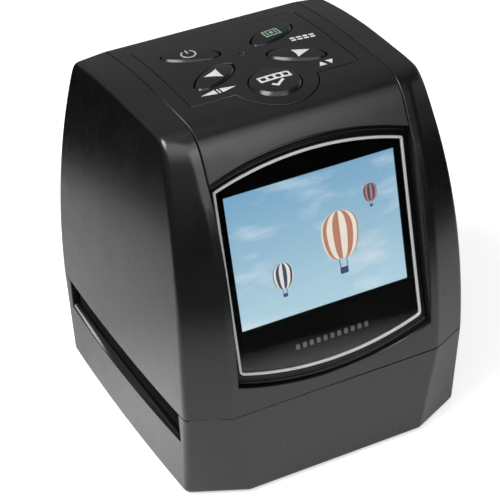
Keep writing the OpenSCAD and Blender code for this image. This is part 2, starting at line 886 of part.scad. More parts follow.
module main_housing() {
    ledge_d = band_t + fit_gap;
    gap = picture_gap;
    skirt = 0.4;                           // ledge beyond the display's screw posts
    color([0.1, 0.1, 0.105])
    difference() {
        union() {
            difference() {
                envelope(0);
                envelope(wall);
                block([-far, -far, under], [far, far, joint_z]);
                // open under the top cover and the rear panel, but for the ledges
                block([-open_half, 0, band_z0], [open_half, far, sky]);
                block([-open_half, -far, cover_front_z], [open_half, far, sky]);
            }
            // frame round the window
            intersection() {
                side_block(0, frame_side);
                on_window() window_shape(half_band - fold_x, -frame_low, ledge_back, body_h / 8);
                block([-far, -far, joint_z + 1], [far, 0, frame_top_z]);
            }
            on_window() {
                block([-lcd_screw_x - lcd_post_r - skirt, picture_mid - lcd_ledge[0], ledge_back],
                    [lcd_screw_x + lcd_post_r + skirt, picture_mid + lcd_h / 2 + lcd_ledge[1], -pane_t]);
                window_shape(pane_ledge, -frame_low / 2, ledge_back, -pane_t);
                at_lcd_screws() translate([0, 0, lcd_back]) cylinder(r = lcd_post_r, h = lcd_t + post_root);
            }
            // ledges that carry the cover's edges
            both_sides() {
                intersection() {
                    side_layer(ledge_d, ledge_d + ledge_t);
                    block([open_half, ledge_y0, joint_z + 2], [fold_x, far, sky]);
                }
                intersection() {
                    side_layer(wall / 2, ledge_d + ledge_t);
                    block([half_band, ledge_y0, joint_z + 2], [fold_x, far, sky]);
                }
            }
            at_base_screws() translate([0, 0, joint_z]) cylinder(r = upper_boss_r, h = upper_boss_h);
            screw_boss_webs();
            // shelves that carry the main board
            both_sides()
                for (y = shelf_y)
                    block([shelf_x, y - shelf_w / 2, main_z - shelf_h],
                        [side_x(main_z) - wall / 2, y + shelf_w / 2, main_z]);
        }
        band_space(fit_gap / 2);
        on_window() {
            window_shape(0, 0, -pane_t, body_h / 5);
            block([-picture_w / 2 - gap, picture_mid - picture_h / 2 - gap, 2 * ledge_back],
                [picture_w / 2 + gap, picture_mid + picture_h / 2 + gap, 1]);
            at_lcd_screws() translate([0, 0, lcd_back - 1])
                cylinder(r = small_screw_r + fit_gap, h = lcd_t + post_root + 1.3);
        }
        at_base_screws() translate([0, 0, joint_z - 1])
            cylinder(r = base_screw_r + fit_gap / 2, h = upper_boss_h);
        at_shelf_holes() translate([0, 0, main_z - shelf_h + 0.6])
            cylinder(r = small_screw_r + fit_gap, h = 2 * shelf_h);
    }
}

keypad_front_y = keypad_back_y - keypad_d;
keypad_t = 1.1;
keypad_groove = 0.15;
bulge_rim = 5.05;                          // panel beyond the scan key, in its round bulge
bulge_back = 1.1;                          // the bulge's middle behind the scan key's
board_z = body_h - keypad_drop;
cut_z = board_z + 4;                       // cuts in cover and panel start here
keypad_post_r = 2.3;
keypad_post_x = open_half - keypad_post_r - 0.2;
keypad_post_y = [-16.5, 18.2];
keypad_post_h = 12;

module at_keypad_posts() {
    for (x = [-keypad_post_x, keypad_post_x], y = keypad_post_y)
        translate([x, y, 0]) children();
}

// The keypad panel's outline: a straight-edged field with a round bulge at the scan key
module keypad_field(grow) {
    half = keypad_w / 2 + grow;
    block([-half, keypad_front_y - grow, cut_z], [half, keypad_back_y + grow, sky]);
    translate([0, scan_y + bulge_back, cut_z])
        cylinder(r = scan_r + bulge_rim + grow, h = sky - cut_z, $fn = 96);
}

// An oval column standing on the X-Y plane
module oval(a, b, h) {
    steps = 36;
    linear_extrude(height = h)
        polygon([for (i = [0:steps - 1]) [a * cos(i * 360 / steps), b * sin(i * 360 / steps)]]);
}

// Places of the four oval keys: x, y, tilt
KEYS = [
    [-key_x, key_back_y, -key_back_tilt],
    [key_x, key_back_y, key_back_tilt],
    [-key_x, key_front_y, key_front_tilt],
    [key_x, key_front_y, -key_front_tilt]
];

module key_holes(grow) {
    for (k = KEYS)
        translate([k[0], k[1], cut_z]) rotate([0, 0, k[2]]) oval(oval_a + grow, oval_b + grow, sky - cut_z);
    translate([0, scan_y, cut_z]) cylinder(r = scan_r + grow, h = sky - cut_z);
    translate([0, light_y, cut_z]) cylinder(r = light_r + fit_gap, h = sky - cut_z);
}

module top_cover() {
    color([0.09, 0.09, 0.095])
    difference() {
        union() {
            intersection() {
                side_block(0, half_band - fit_gap / 2);
                block([-far, -far, band_seam_z + fit_gap / 2], [far, far, sky]);
                side_layer(-1, band_t);
            }
            intersection() {
                at_keypad_posts() translate([0, 0, board_z + board_t])
                    cylinder(r = keypad_post_r, h = keypad_post_h);
                side_block(keypad_t + keypad_groove);
            }
        }
        on_window() window_shape(-1, -fit_gap / 2, -body_h / 5, body_h / 5);
        block([-far, -far, 0], [far, 0, cover_front_z + 4]);
        difference() {
            keypad_field(keypad_groove);
            side_block(keypad_t + fit_gap);
        }
        key_holes(key_gap);
        at_keypad_posts() translate([0, 0, board_z])
            cylinder(r = small_screw_r + fit_gap, h = keypad_post_h / 2);
    }
}

module keypad_panel() {
    color([0.1, 0.1, 0.105])
    difference() {
        intersection() {
            keypad_field(0);
            difference() {
                side_block(0, half_band);
                side_block(keypad_t, half_band + 1);
            }
        }
        key_holes(key_gap);
    }
}

usb_x = -16;                               // sockets at the back, seen from the front
av_x = -3;
card_x = 9.5;
usb_size = [7.7, 9.2, 3.9];                // width, depth, height
usb_hole = [8.4, 4.7];
usb_shell = 0.4;
usb_tongue = [5.2, 8.4, 0.8];
av_size = [7, 10.5, 6];
av_collar_r = 3;
av_bore_r = 1.3;
card_size = [28, 27, 3.6];
card_hole = [26, 3.5];
card_wall = [1.8, 0.6];                    // sides, and bottom and top
port_gap = 0.3;
av_z = main_z + board_t + av_size[2] / 2;

module rear_panel() {
    usb_z = main_z + board_t - port_gap;
    color([0.09, 0.09, 0.095])
    difference() {
        intersection() {
            side_block(0, half_band - fit_gap / 2);
            block([-far, 0, band_z0 + fit_gap / 2], [far, far, band_seam_z - fit_gap / 2]);
            side_layer(-1, band_t);
        }
        block([usb_x - usb_hole[0] / 2, 0, usb_z], [usb_x + usb_hole[0] / 2, far, usb_z + usb_hole[1]]);
        translate([av_x, 0, av_z]) rotate([-90, 0, 0]) cylinder(r = av_collar_r + 0.5, h = far);
        block([card_x - card_hole[0] / 2, 0, main_z - card_hole[1] - 0.2],
            [card_x + card_hole[0] / 2, far, main_z - 0.2]);
        for (i = [0:rear_vents - 1])
            translate([0, 0, vent_z + i * rear_vent_pitch])
                block([-rear_vent_w / 2, 0, 0], [rear_vent_w / 2, far, rear_vent_h]);
    }
}

// ---------------------------------------------------------------- window and display

skin_gap = 0.04;                           // between bezel, outline and pane
trim_proud = 0.25;
pane_sink = 0.1;
frame_rim = [2, 1];                        // display's rear frame beyond screws and panel
frame_open = [40, 28];

module window_bezel() {
    color([0.05, 0.05, 0.055])
    on_window()
        difference() {
            window_shape(fit_gap, fit_gap, -pane_t, 0);
            window_shape(bezel_w, bezel_e, -pane_t - 1, 1);
        }
}

module window_trim() {
    color([0.72, 0.72, 0.74])
    on_window()
        difference() {
            window_shape(bezel_w + skin_gap, bezel_e + skin_gap, -pane_t, trim_proud);
            window_shape(bezel_w + trim_w, bezel_e + trim_w, -pane_t - 1, 1);
        }
}

module window_pane() {
    in = trim_w + skin_gap;
    color([0.2, 0.22, 0.25, 0.5])
    on_window() window_shape(bezel_w + in, bezel_e + in, -pane_t, -pane_sink);
}

module lcd_panel() {
    color([0.45, 0.7, 0.85])
    on_window()
        block([-lcd_w / 2, picture_mid - lcd_h / 2, lcd_back],
            [lcd_w / 2, picture_mid + lcd_h / 2, ledge_back]);
}

module lcd_frame() {
    half = [lcd_screw_x + frame_rim[0], lcd_h / 2 + frame_rim[1]];
    open = frame_open / 2;
    color([0.7, 0.71, 0.72])
    on_window()
        difference() {
            block([-half[0], picture_mid - half[1], lcd_back - frame_t],
                [half[0], picture_mid + half[1], lcd_back]);
            block([-open[0], picture_mid - open[1], 2 * lcd_back], [open[0], picture_mid + open[1], 0]);
            at_lcd_screws() translate([0, 0, 2 * lcd_back])
                cylinder(r = small_screw_r + bore_gap, h = -2 * lcd_back);
        }
}

module lcd_screws() {
    color([0.6, 0.6, 0.62])
    on_window()
        at_lcd_screws() translate([0, 0, lcd_back - frame_t]) small_screw(lcd_t + post_root);
}

// ---------------------------------------------------------------- keys

switch_size = [6, 6, 3.5];
switch_seat = 0.9;                         // depth of the plungers in the switches at rest
plunger_r = 1.6;
plunger_h = 1.3;
plunger_gap = 0.15;
plunger_top = board_z + board_t + switch_size[2] + key_travel + 0.1;
key_stem_h = 1.2;
key_flange_z = plunger_top + key_stem_h;
key_flange_t = 0.8;
key_rim = 0.9;                             // flange beyond the key's cap
key_dome_r = 45;
scan_dome_r = 60;
cap_h = 12;                                // caps before they are cut to their domes

// Cap under a dome, flange and stem of a key; the children are its cap and its flange
module key_form(x, y, proud, dome_r) {
    translate([x, y, 0]) {
        intersection() {
            translate([0, 0, key_flange_z]) children(0);
            translate([0, 0, top_z(y) + proud - dome_r]) sphere(r = dome_r, $fn = 180);
        }
        translate([0, 0, key_flange_z]) children(1);
        translate([0, 0, plunger_top]) cylinder(r = plunger_r, h = key_stem_h + key_flange_t / 2);
    }
}

module oval_key(k) {
    key_form(k[0], k[1], key_proud, key_dome_r) {
        rotate([0, 0, k[2]]) oval(oval_a, oval_b, cap_h);
        rotate([0, 0, k[2]]) oval(oval_a + key_rim, oval_b + key_rim, key_flange_t);
    }
}

module power_button() {
    color([0.1, 0.1, 0.105]) oval_key(KEYS[0]);
}

module menu_button() {
    color([0.1, 0.1, 0.105]) oval_key(KEYS[1]);
}

module mirror_button() {
    color([0.1, 0.1, 0.105]) oval_key(KEYS[2]);
}

module flip_button() {
    color([0.1, 0.1, 0.105]) oval_key(KEYS[3]);
}

module scan_button() {
    color([0.1, 0.1, 0.105])
    key_form(0, scan_y, scan_proud, scan_dome_r) {
        cylinder(r = scan_r, h = cap_h);
        cylinder(r = scan_r + key_rim, h = key_flange_t);
    }
}

module plunger(x, y) {
    color([0.75, 0.2, 0.15])
    translate([x, y, plunger_top - plunger_h]) cylinder(r = plunger_r, h = plunger_h);
}

module power_plunger() {
    plunger(KEYS[0][0], KEYS[0][1]);
}

module menu_plunger() {
    plunger(KEYS[1][0], KEYS[1][1]);
}

module mirror_plunger() {
    plunger(KEYS[2][0], KEYS[2][1]);
}

module flip_plunger() {
    plunger(KEYS[3][0], KEYS[3][1]);
}

module scan_plunger() {
    plunger(0, scan_y);
}

module tact_switches() {
    half = switch_size / 2;
    seat = switch_size[2] - switch_seat - key_travel;
    places = concat([for (k = KEYS) [k[0], k[1]]], [[0, scan_y]]);
    color([0.3, 0.3, 0.32])
    for (p = places)
        translate([p[0], p[1], board_z + board_t])
            difference() {
                block([-half[0], -half[1], 0], [half[0], half[1], switch_size[2]]);
                translate([0, 0, seat]) cylinder(r = plunger_r + plunger_gap, h = switch_size[2]);
            }
}

keypad_rim = 3.5;                          // keypad board beyond its screws

module keypad_board() {
    x = keypad_post_x + keypad_rim;
    color([0.1, 0.35, 0.2])
    difference() {
        block([-x, keypad_post_y[0] - keypad_rim, board_z],
            [x, keypad_post_y[1] + keypad_rim, board_z + board_t]);
        at_keypad_posts() cylinder(r = small_screw_r + bore_gap, h = body_h);
    }
}

module keypad_screws() {
    color([0.6, 0.6, 0.62])
    at_keypad_posts() translate([0, 0, board_z]) small_screw(board_screw_l - 0.1);
}

status_size = [2, 1.3, 1];
pipe_gap = 0.1;
pipe_rim = [0.7, 0.8];                     // reach and thickness of the light pipe's collar
pipe_sink = 0.3;

module status_led() {
    half = status_size / 2;
    z = board_z + board_t;
    color([0.9, 0.95, 0.9])
    block([-half[0], light_y - half[1], z], [half[0], light_y + half[1], z + status_size[2]]);
}

module light_pipe() {
    z0 = board_z + board_t + status_size[2] + pipe_gap;
    z1 = top_z(light_y);
    color([0.85, 0.9, 0.85, 0.5])
    translate([0, light_y, 0]) {
        translate([0, 0, z0]) cylinder(r = light_r, h = z1 - pipe_sink - z0);
        translate([0, 0, z1 - band_t - pipe_sink - pipe_rim[1]])
            cylinder(r = light_r + pipe_rim[0], h = pipe_rim[1]);
    }
}

// ---------------------------------------------------------------- electronics

module main_board() {
    color([0.1, 0.35, 0.2])
    difference() {
        block([-main_half, main_y[0], main_z], [main_half, main_y[1], main_z + board_t]);
        at_shelf_holes() cylinder(r = small_screw_r + bore_gap, h = body_h);
    }
}

module board_screws() {
    color([0.6, 0.6, 0.62]) at_shelf_holes() board_screw(main_z);
}

// Chips on the main board: x, y of the corner, then width, depth and height
chip_blocks = [
    [-16, -6, 14, 14, 1.2],
    [6, -8, 12, 18, 1.1],
    [22, 12, 7, 5, 1.5],
    [-29, 6, 7, 5, 1.5]
];
connector_size = [18, 3, 1.5];             // display's connector at the board's front edge
connector_inset = 0.5;
connector_y = main_y[0] + connector_inset;

module board_chips() {
    z = main_z + board_t;
    color([0.07, 0.07, 0.075])
    for (c = chip_blocks)
        translate([c[0], c[1], z]) cube([c[2], c[3], c[4]]);
    color([0.85, 0.85, 0.82])
    translate([-connector_size[0] / 2, connector_y, z]) cube(connector_size);
}

module usb_socket() {
    half = usb_size / 2;
    t = usb_shell;
    tongue = usb_tongue / 2;
    translate([usb_x, port_y, main_z + board_t + half[2]])
        color([0.75, 0.75, 0.76])
        difference() {
            block([-half[0], -usb_size[1], -half[2]], [half[0], 0, half[2]]);
            difference() {
                block([t - half[0], 4 * t - usb_size[1], t - half[2]], [half[0] - t, 1, half[2] - t]);
                block([-tongue[0], -usb_size[1], -tongue[2]],
                    [tongue[0], usb_tongue[1] - usb_size[1], tongue[2]]);
            }
        }
}

module av_jack() {
    half = av_size[0] / 2;
    front_y = port_y - 1.5;
    z = main_z + board_t;
    color([0.12, 0.12, 0.12])
    difference() {
        union() {
            block([av_x - half, front_y - av_size[1], z], [av_x + half, front_y, z + av_size[2]]);
            translate([av_x, front_y - 0.5, av_z]) rotate([-90, 0, 0]) cylinder(r = av_collar_r, h = 2);
        }
        translate([av_x, port_y - av_size[1], av_z]) rotate([-90, 0, 0])
            cylinder(r = av_bore_r, h = av_size[1] + 1);
    }
}

module card_socket() {
    half = card_size[0] / 2;
    w = card_wall;
    color([0.72, 0.72, 0.73])
    difference() {
        block([card_x - half, port_y - card_size[1], main_z - card_size[2]], [card_x + half, port_y, main_z]);
        block([card_x - half + w[0], port_y - card_size[1] + w[0], main_z - card_size[2] + w[1]],
            [card_x + half - w[0], port_y + 1, main_z - w[1]]);
    }
}

flex_t = 0.3;
flex_edge = 1.1;                           // ribbons' place in from their boards' edges
flex_inset = 1.7;                          // display ribbon's place on its connector
display_flex_w = 14;
display_flex_rise = 2.3;                   // where it leaves the display, above its connector
keypad_flex_x = [14, 24];
sensor_flex_x = [-8, 4];

// Ribbon from the display's back to the connector on the main board
module display_flex() {
    z1 = main_z + board_t + connector_size[2];
    z0 = z1 + display_flex_rise;
    y0 = (z0 - joint_z) * tan(window_tilt) - half_d - lcd_back / cos(window_tilt);
    y1 = main_y[0] + flex_inset;
    color([0.75, 0.5, 0.15])
    along_x([
        [y0, z0], [y0 + 0.1, z0 - flex_t], [y1, z0 - flex_t], [y1, z1],
        [y1 + flex_t, z1], [y1 + flex_t, z0], [y0 + 0.05, z0 + 0.01]
    ], -display_flex_w / 2, display_flex_w / 2);
}

module keypad_flex() {
    y = keypad_post_y[0] - keypad_rim + flex_edge;
    color([0.75, 0.5, 0.15])
    block([keypad_flex_x[0], y, main_z + board_t], [keypad_flex_x[1], y + flex_t, board_z]);
}

module sensor_flex() {
    y = optic_y - sensor_half + flex_edge;
    color([0.75, 0.5, 0.15])
    block([sensor_flex_x[0], y, sensor_z + board_t], [sensor_flex_x[1], y + flex_t, main_z]);
}

// ---------------------------------------------------------------- assembly

base_housing();
rubber_feet();
base_screws();
backlight_board();
backlight_leds();
light_box();
diffuser();
film_guide();
front_detent();
rear_detent();
front_detent_spring();
rear_detent_spring();
upper_gate();
gate_glass();
lens_hood();
lens_barrel();
lens_elements();
image_sensor();
sensor_board();
sensor_screws();
main_housing();
top_cover();
rear_panel();
keypad_panel();
power_button();
menu_button();
mirror_button();
flip_button();
scan_button();
power_plunger();
menu_plunger();
mirror_plunger();
flip_plunger();
scan_plunger();
tact_switches();
keypad_board();
keypad_screws();
status_led();
light_pipe();
window_bezel();
window_trim();
window_pane();
lcd_panel();
lcd_frame();
lcd_screws();
main_board();
board_screws();
board_chips();
usb_socket();
av_jack();
card_socket();
display_flex();
keypad_flex();
sensor_flex();
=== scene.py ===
import json
import math

import bmesh
import bpy
import numpy as np
from mathutils import Matrix, Vector
from mathutils.geometry import delaunay_2d_cdt
from mathutils.kdtree import KDTree


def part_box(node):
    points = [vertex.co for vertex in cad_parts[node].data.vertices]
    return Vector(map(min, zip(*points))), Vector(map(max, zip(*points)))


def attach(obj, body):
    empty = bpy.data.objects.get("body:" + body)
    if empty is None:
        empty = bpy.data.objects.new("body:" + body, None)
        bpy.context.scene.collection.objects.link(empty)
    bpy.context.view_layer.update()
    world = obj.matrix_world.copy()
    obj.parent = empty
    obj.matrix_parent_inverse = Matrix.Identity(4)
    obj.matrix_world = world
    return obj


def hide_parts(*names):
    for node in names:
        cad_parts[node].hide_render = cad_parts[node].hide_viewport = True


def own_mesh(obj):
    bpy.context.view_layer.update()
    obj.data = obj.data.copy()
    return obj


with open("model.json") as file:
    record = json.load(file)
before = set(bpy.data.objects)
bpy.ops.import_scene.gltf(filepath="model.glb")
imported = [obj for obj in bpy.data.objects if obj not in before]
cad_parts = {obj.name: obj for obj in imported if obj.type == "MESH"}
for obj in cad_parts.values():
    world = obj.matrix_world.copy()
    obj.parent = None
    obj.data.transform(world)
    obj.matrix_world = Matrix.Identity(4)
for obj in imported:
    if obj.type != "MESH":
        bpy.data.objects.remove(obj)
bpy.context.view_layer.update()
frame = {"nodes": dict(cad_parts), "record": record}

print("frame loaded:", len(frame["nodes"]), "nodes")

# Every measure below is in millimetres; meshes are scaled to metres when they are made.
body = {
    "half": 43.2499, "height": 103.5, "jointZ": 27.7, "seam": 0.06, "bottomZ": 1.0, "wall": 2.4,
    "leanZ": 32.0, "foldZ": 90.0, "frontLean": 11.1, "frontLate": 0.255, "backLean": 7.3,
    "sideZ": 29.0, "sideLean": 6.34, "draft": 1.05, "cornerDraft": 2.2,
    "bulgeR": 800.0, "bulgeY": 5.0, "bandX": 28.6, "cornerX": 31.0, "cornerTurn": 25.6,
    "crownTurn": 6.0, "rearBevel": 2.4, "topFall": 2.4, "frontFold": 20.2, "backFold": 7.45,
    "frontReach": (14.3, 14.5), "backReach": 4.6,
    "edgeRound": 1.15, "creaseRound": 3.0, "rearRound": 2.2, "footRound": 1.0,
}
# how far a rounded join reaches for each mm of its radius, by how sharply the two surfaces meet
joinReach = {"crease": 0.098, "rear": 0.25, "edge": 1.17}
bandEyeZ = 45  # the side outline is seen whole from this height


def unitRows(v):
    return v / np.maximum(np.linalg.norm(v, axis=-1, keepdims=True), 1e-12)


def leanPart(z):
    return np.maximum(0, (z - body["leanZ"]) / (body["foldZ"] - body["leanZ"]))


def baseIn(z):
    return body["draft"] * np.maximum(0, body["jointZ"] - z) / body["jointZ"]


def frontY(z):
    t = leanPart(z)
    late = body["frontLate"]
    return baseIn(z) - body["half"] + body["frontLean"] * ((1 - late) * t ** 2 + late * t ** 4)


def backY(z):
    return body["half"] - baseIn(z) - body["backLean"] * leanPart(z) ** 2


def sideX(z):
    t = np.maximum(0, (z - body["sideZ"]) / (body["height"] - body["sideZ"]))
    low = np.maximum(0, body["sideZ"] - z) / body["sideZ"]
    return body["half"] - body["sideLean"] * t ** 2 - body["draft"] * low / 2


topBackY = body["half"] - body["backLean"] - body["backFold"]
topFrontY = -body["half"] + body["frontLean"] + body["frontFold"]


def topZ(y):
    return body["height"] - body["topFall"] * (np.maximum(y, 0) / topBackY) ** 2


def cubic(a, b, c, d, count):
    t = np.linspace(0, 1, count)[:, None]
    a, b, c, d = (np.array(p, float) for p in (a, b, c, d))
    return (1 - t) ** 3 * a + 3 * (1 - t) ** 2 * t * b + 3 * (1 - t) * t * t * c + t ** 3 * d


rise = body["foldZ"] - body["leanZ"]
frontSlope = unitRows(np.array([2 * body["frontLean"] * (1 + body["frontLate"]) / rise, 1]))
backSlope = unitRows(np.array([-2 * body["backLean"] / rise, 1]))
foldStart = np.array([frontY(body["foldZ"]), body["foldZ"]])
foldEnd = np.array([topFrontY, body["height"]])
backStart = np.array([topBackY, body["height"] - body["topFall"]])
backEnd = np.array([backY(body["foldZ"]), body["foldZ"]])
foldLine = cubic(foldStart, foldStart + body["frontReach"][0] * frontSlope,
                 foldEnd - [body["frontReach"][1], 0], foldEnd, 900)
topLine = np.array([[y, topZ(y)] for y in np.linspace(topFrontY, topBackY, 900)])
backWay = unitRows(np.array([topBackY, -2 * body["topFall"]]))
backLine = cubic(backStart, backStart + body["backReach"] * backWay,
                 backEnd + body["backReach"] * backSlope, backEnd, 500)
upright = np.linspace(-20, body["foldZ"], 2400)


def joined(*lines):
    points = np.concatenate(lines)
    keep = np.r_[True, np.linalg.norm(np.diff(points, axis=0), axis=1) > 1e-6]
    return points[keep]


sideLine = joined(np.c_[frontY(upright), upright], foldLine, topLine, backLine,
                  np.c_[backY(upright), upright][::-1])
cornerSlant = (body["draft"] + body["cornerDraft"]) / (body["jointZ"] - body["bottomZ"])
cornerY = np.where(upright < body["jointZ"],
                   cornerSlant * (body["jointZ"] - upright) - body["half"], frontY(upright))
farUp = np.array([[body["half"] / 2, body["height"] + 20]])
cornerLine = joined(np.c_[cornerY, upright], foldLine, foldLine[-1] + (farUp - foldLine[-1])
                    * np.linspace(0, 4, 400)[:, None])
runOut = np.linspace(45, 0, 300)[:, None]
frontOut, backOut = foldStart - runOut * frontSlope, backEnd - runOut[::-1] * backSlope
crownLine = joined(np.linspace([-120, -20], frontOut[0], 200), frontOut, foldLine, topLine, backLine,
                   backOut, np.linspace(backOut[-1], [120, -20], 200))


def polarBlock(points, centre=(0, 50)):
    # how far a point lies outside an outline that is seen whole from its centre
    rel = points - np.array(centre)
    turn = np.unwrap(np.arctan2(rel[:, 1], rel[:, 0]))
    if turn[-1] < turn[0]:
        turn, rel = turn[::-1], rel[::-1]
    reach = np.hypot(rel[:, 0], rel[:, 1])
    lean = np.gradient(reach, turn) / reach
    cosine = 1 / np.sqrt(1 + lean ** 2)

    def outside(a, b):
        th = np.arctan2(b - centre[1], a - centre[0])
        th = np.where(th < turn[0], th + 2 * np.pi, th)
        th = np.where(th > turn[-1] + 1e-9, np.where(th - 2 * np.pi >= turn[0], th - 2 * np.pi, th), th)
        r = np.hypot(a - centre[0], b - centre[1])
        return (r - np.interp(th, turn, reach)) * np.interp(th, turn, cosine)
    return outside


cornerCos, cornerSin = (f(math.radians(body["cornerTurn"])) for f in (math.cos, math.sin))
crownCos, crownSin = (f(math.radians(body["crownTurn"])) for f in (math.cos, math.sin))
sideBlock = polarBlock(sideLine)
cornerBlock = polarBlock(cornerLine * [cornerCos, 1])
crownBlock = polarBlock(crownLine * [1, crownCos])


def softMax(a, b, k):
    return np.maximum(a, b) + np.maximum(k - np.abs(a - b), 0) ** 2 / (4 * k)


def bodyField(p):
    # near the surface: distance outside the body, creases and edges rounded
    x, y, z = np.abs(p[:, 0]), p[:, 1], p[:, 2]
    f = sideBlock(y, z)
    f = np.maximum(f, crownBlock(y, crownCos * z + crownSin * (x - body["bandX"])))
    corner = cornerBlock(cornerCos * y - cornerSin * (x - body["cornerX"]), z)
    f = softMax(f, corner, joinReach["crease"] * body["creaseRound"])
    axisX = body["half"] - body["bulgeR"]
    slope = (sideX(z + 0.05) - sideX(z - 0.05)) / 0.1
    side = np.hypot(x - axisX, y - body["bulgeY"]) - (sideX(z) - axisX)
    f = softMax(f, side / np.sqrt(1 + slope ** 2), joinReach["edge"] * body["edgeRound"])
    rearSlope = (slope + (backY(z + 0.05) - backY(z - 0.05)) / 0.1) / math.sqrt(2)
    rear = (x + y - (sideX(z) + backY(z) - body["rearBevel"])) / math.sqrt(2)
    f = softMax(f, rear / np.sqrt(1 + rearSlope ** 2), joinReach["rear"] * body["rearRound"])
    return softMax(f, body["bottomZ"] - z, joinReach["edge"] * body["footRound"])


def castTo(field, origin, way, level=0.0, near=0.0, far=110.0):
    # where the ways out from the origins reach a level of the field
    origin, way = np.broadcast_arrays(np.asarray(origin, float), np.asarray(way, float))
    lo, hi = np.full(len(origin), near), np.full(len(origin), far)
    for _ in range(34):
        mid = (lo + hi) / 2
        out = field(origin + mid[:, None] * way) > level
        hi, lo = np.where(out, mid, hi), np.where(out, lo, mid)
    return origin + ((lo + hi) / 2)[:, None] * way


def fieldNormal(field, p, step=0.06):
    axes = np.eye(3) * step
    return unitRows(np.stack([field(p + a) - field(p - a) for a in axes], axis=1))


# The side outline as a line with a length along it, for the strips that run over the top
bandLine = sideLine[np.searchsorted(sideLine[:len(upright) // 2, 1], body["jointZ"]):]
bandRun = np.r_[0, np.cumsum(np.linalg.norm(np.diff(bandLine, axis=0), axis=1))]
bandAway = unitRows(np.c_[-np.gradient(bandLine[:, 1], bandRun), np.gradient(bandLine[:, 0], bandRun)])
bandTurn = np.arctan2(bandLine[:, 0], bandLine[:, 1] - bandEyeZ)


def alongBand(run):
    return np.c_[np.interp(run, bandRun, bandLine[:, 0]), np.interp(run, bandRun, bandLine[:, 1])]


def awayFromBand(run):
    return unitRows(np.c_[np.interp(run, bandRun, bandAway[:, 0]), np.interp(run, bandRun, bandAway[:, 1])])


def runOf(y, z):
    return np.interp(np.arctan2(y, z - bandEyeZ), bandTurn, bandRun)


class BodySkin:
    # the rounded body, seen from a centre; pole is +1 for the upper part and -1 for the base
    def __init__(self, centreZ, pole):
        self.centre = np.array([0, 0, centreZ])
        self.pole = pole
        self.scale = 60

    def project(self, p):
        way = unitRows(p - self.centre)
        return self.scale * way[:, :2] / (1 + self.pole * way[:, 2:3])

    def at(self, uv, depth=0.0):
        q = uv / self.scale
        m = (q ** 2).sum(1, keepdims=True)
        way = np.c_[2 * q / (1 + m), self.pole * (1 - m) / (1 + m)]
        return castTo(bodyField, self.centre, way, -depth)

    def normal(self, p):
        return fieldNormal(bodyField, p)


class BandSkin:
    # the strip over front, top and back: x, and the length along the outline
    def project(self, p):
        return np.c_[p[:, 0], runOf(p[:, 1], p[:, 2])]

    def at(self, uv, depth=0.0):
        yz = alongBand(uv[:, 1]) - depth * awayFromBand(uv[:, 1])
        return np.c_[uv[:, 0], yz]

    def normal(self, p):
        away = awayFromBand(runOf(p[:, 1], p[:, 2]))
        return np.c_[np.zeros(len(p)), away]


def inLoop(points, loop):
    inside = np.zeros(len(points), bool)
    x, y = points[:, 0], points[:, 1]
    for (x0, y0), (x1, y1) in zip(loop, np.roll(loop, -1, axis=0)):
        if y0 != y1:
            inside ^= ((y0 > y) != (y1 > y)) & (x < (x1 - x0) * (y - y0) / (y1 - y0) + x0)
    return inside


def inRegion(points, loops):
    inside = inLoop(points, loops[0])
    for hole in loops[1:]:
        inside &= ~inLoop(points, hole)
    return inside


def gradedPoints(skin, loops, coarse, fine, bend):
    # points over a region, closer together where the surface bends
    low, high = loops[0].min(0), loops[0].max(0)
    size = coarse
    i, j = np.meshgrid(*(np.arange(int(np.ceil(s / size))) for s in high - low), indexing="ij")
    corner = low + np.c_[i.ravel(), j.ravel()] * size
    found, spans = [], []
    while len(corner):
        steps = np.array([[0, 0], [1, 0], [1, 1], [0, 1], [0.5, 0.5]])
        grid = (corner[:, None] + steps * size).reshape(-1, 2)
        p = skin.at(grid)
        n = skin.normal(p).reshape(-1, 5, 3)
        p = p.reshape(-1, 5, 3)
        span = np.linalg.norm(p[:, 0] - p[:, 2], axis=1)
        turn = np.degrees(np.arccos(np.clip((n[:, :4] * n[:, 4:5]).sum(2).min(1), -1, 1)))
        split = (turn > bend) & (span > fine) | (span > 2.2 * coarse)
        found.append(p[~split, 4])
        spans.append(span[~split])
        size /= 2
        corner = (corner[split][:, None] + steps[:4] * size).reshape(-1, 2)
    p, span = np.concatenate(found), np.concatenate(spans)
    uv = skin.project(p)
    keep = inRegion(uv, loops)
    return p[keep], uv[keep], span[keep]


def clearOf(points, rims, room):
    # leaves out the points that lie too near an edge
    tree = KDTree(sum(len(r) for r in rims))
    for k, p in enumerate(np.concatenate(rims)):
        tree.insert(p, k)
    tree.balance()
    return np.array([tree.find(p)[2] for p in points]) > room if len(points) else np.zeros(0, bool)


def fillRegion(loops, extra):
    # triangles between loops, over their corners and the extra points
    points, edges, base = [], [], 0
    for loop in loops:
        points.append(loop)
        n = len(loop)
        edges += [(base + k, base + (k + 1) % n) for k in range(n)]
        base += n
    points = np.concatenate(points + ([extra] if len(extra) else []))
    out = delaunay_2d_cdt([Vector(p) for p in points], edges, [], 0, 1e-9, True)
    index = [o[0] for o in out[3]]
    faces = np.array([[index[v] for v in f] for f in out[2]])
    return faces[inRegion(points[faces].mean(1), loops)]


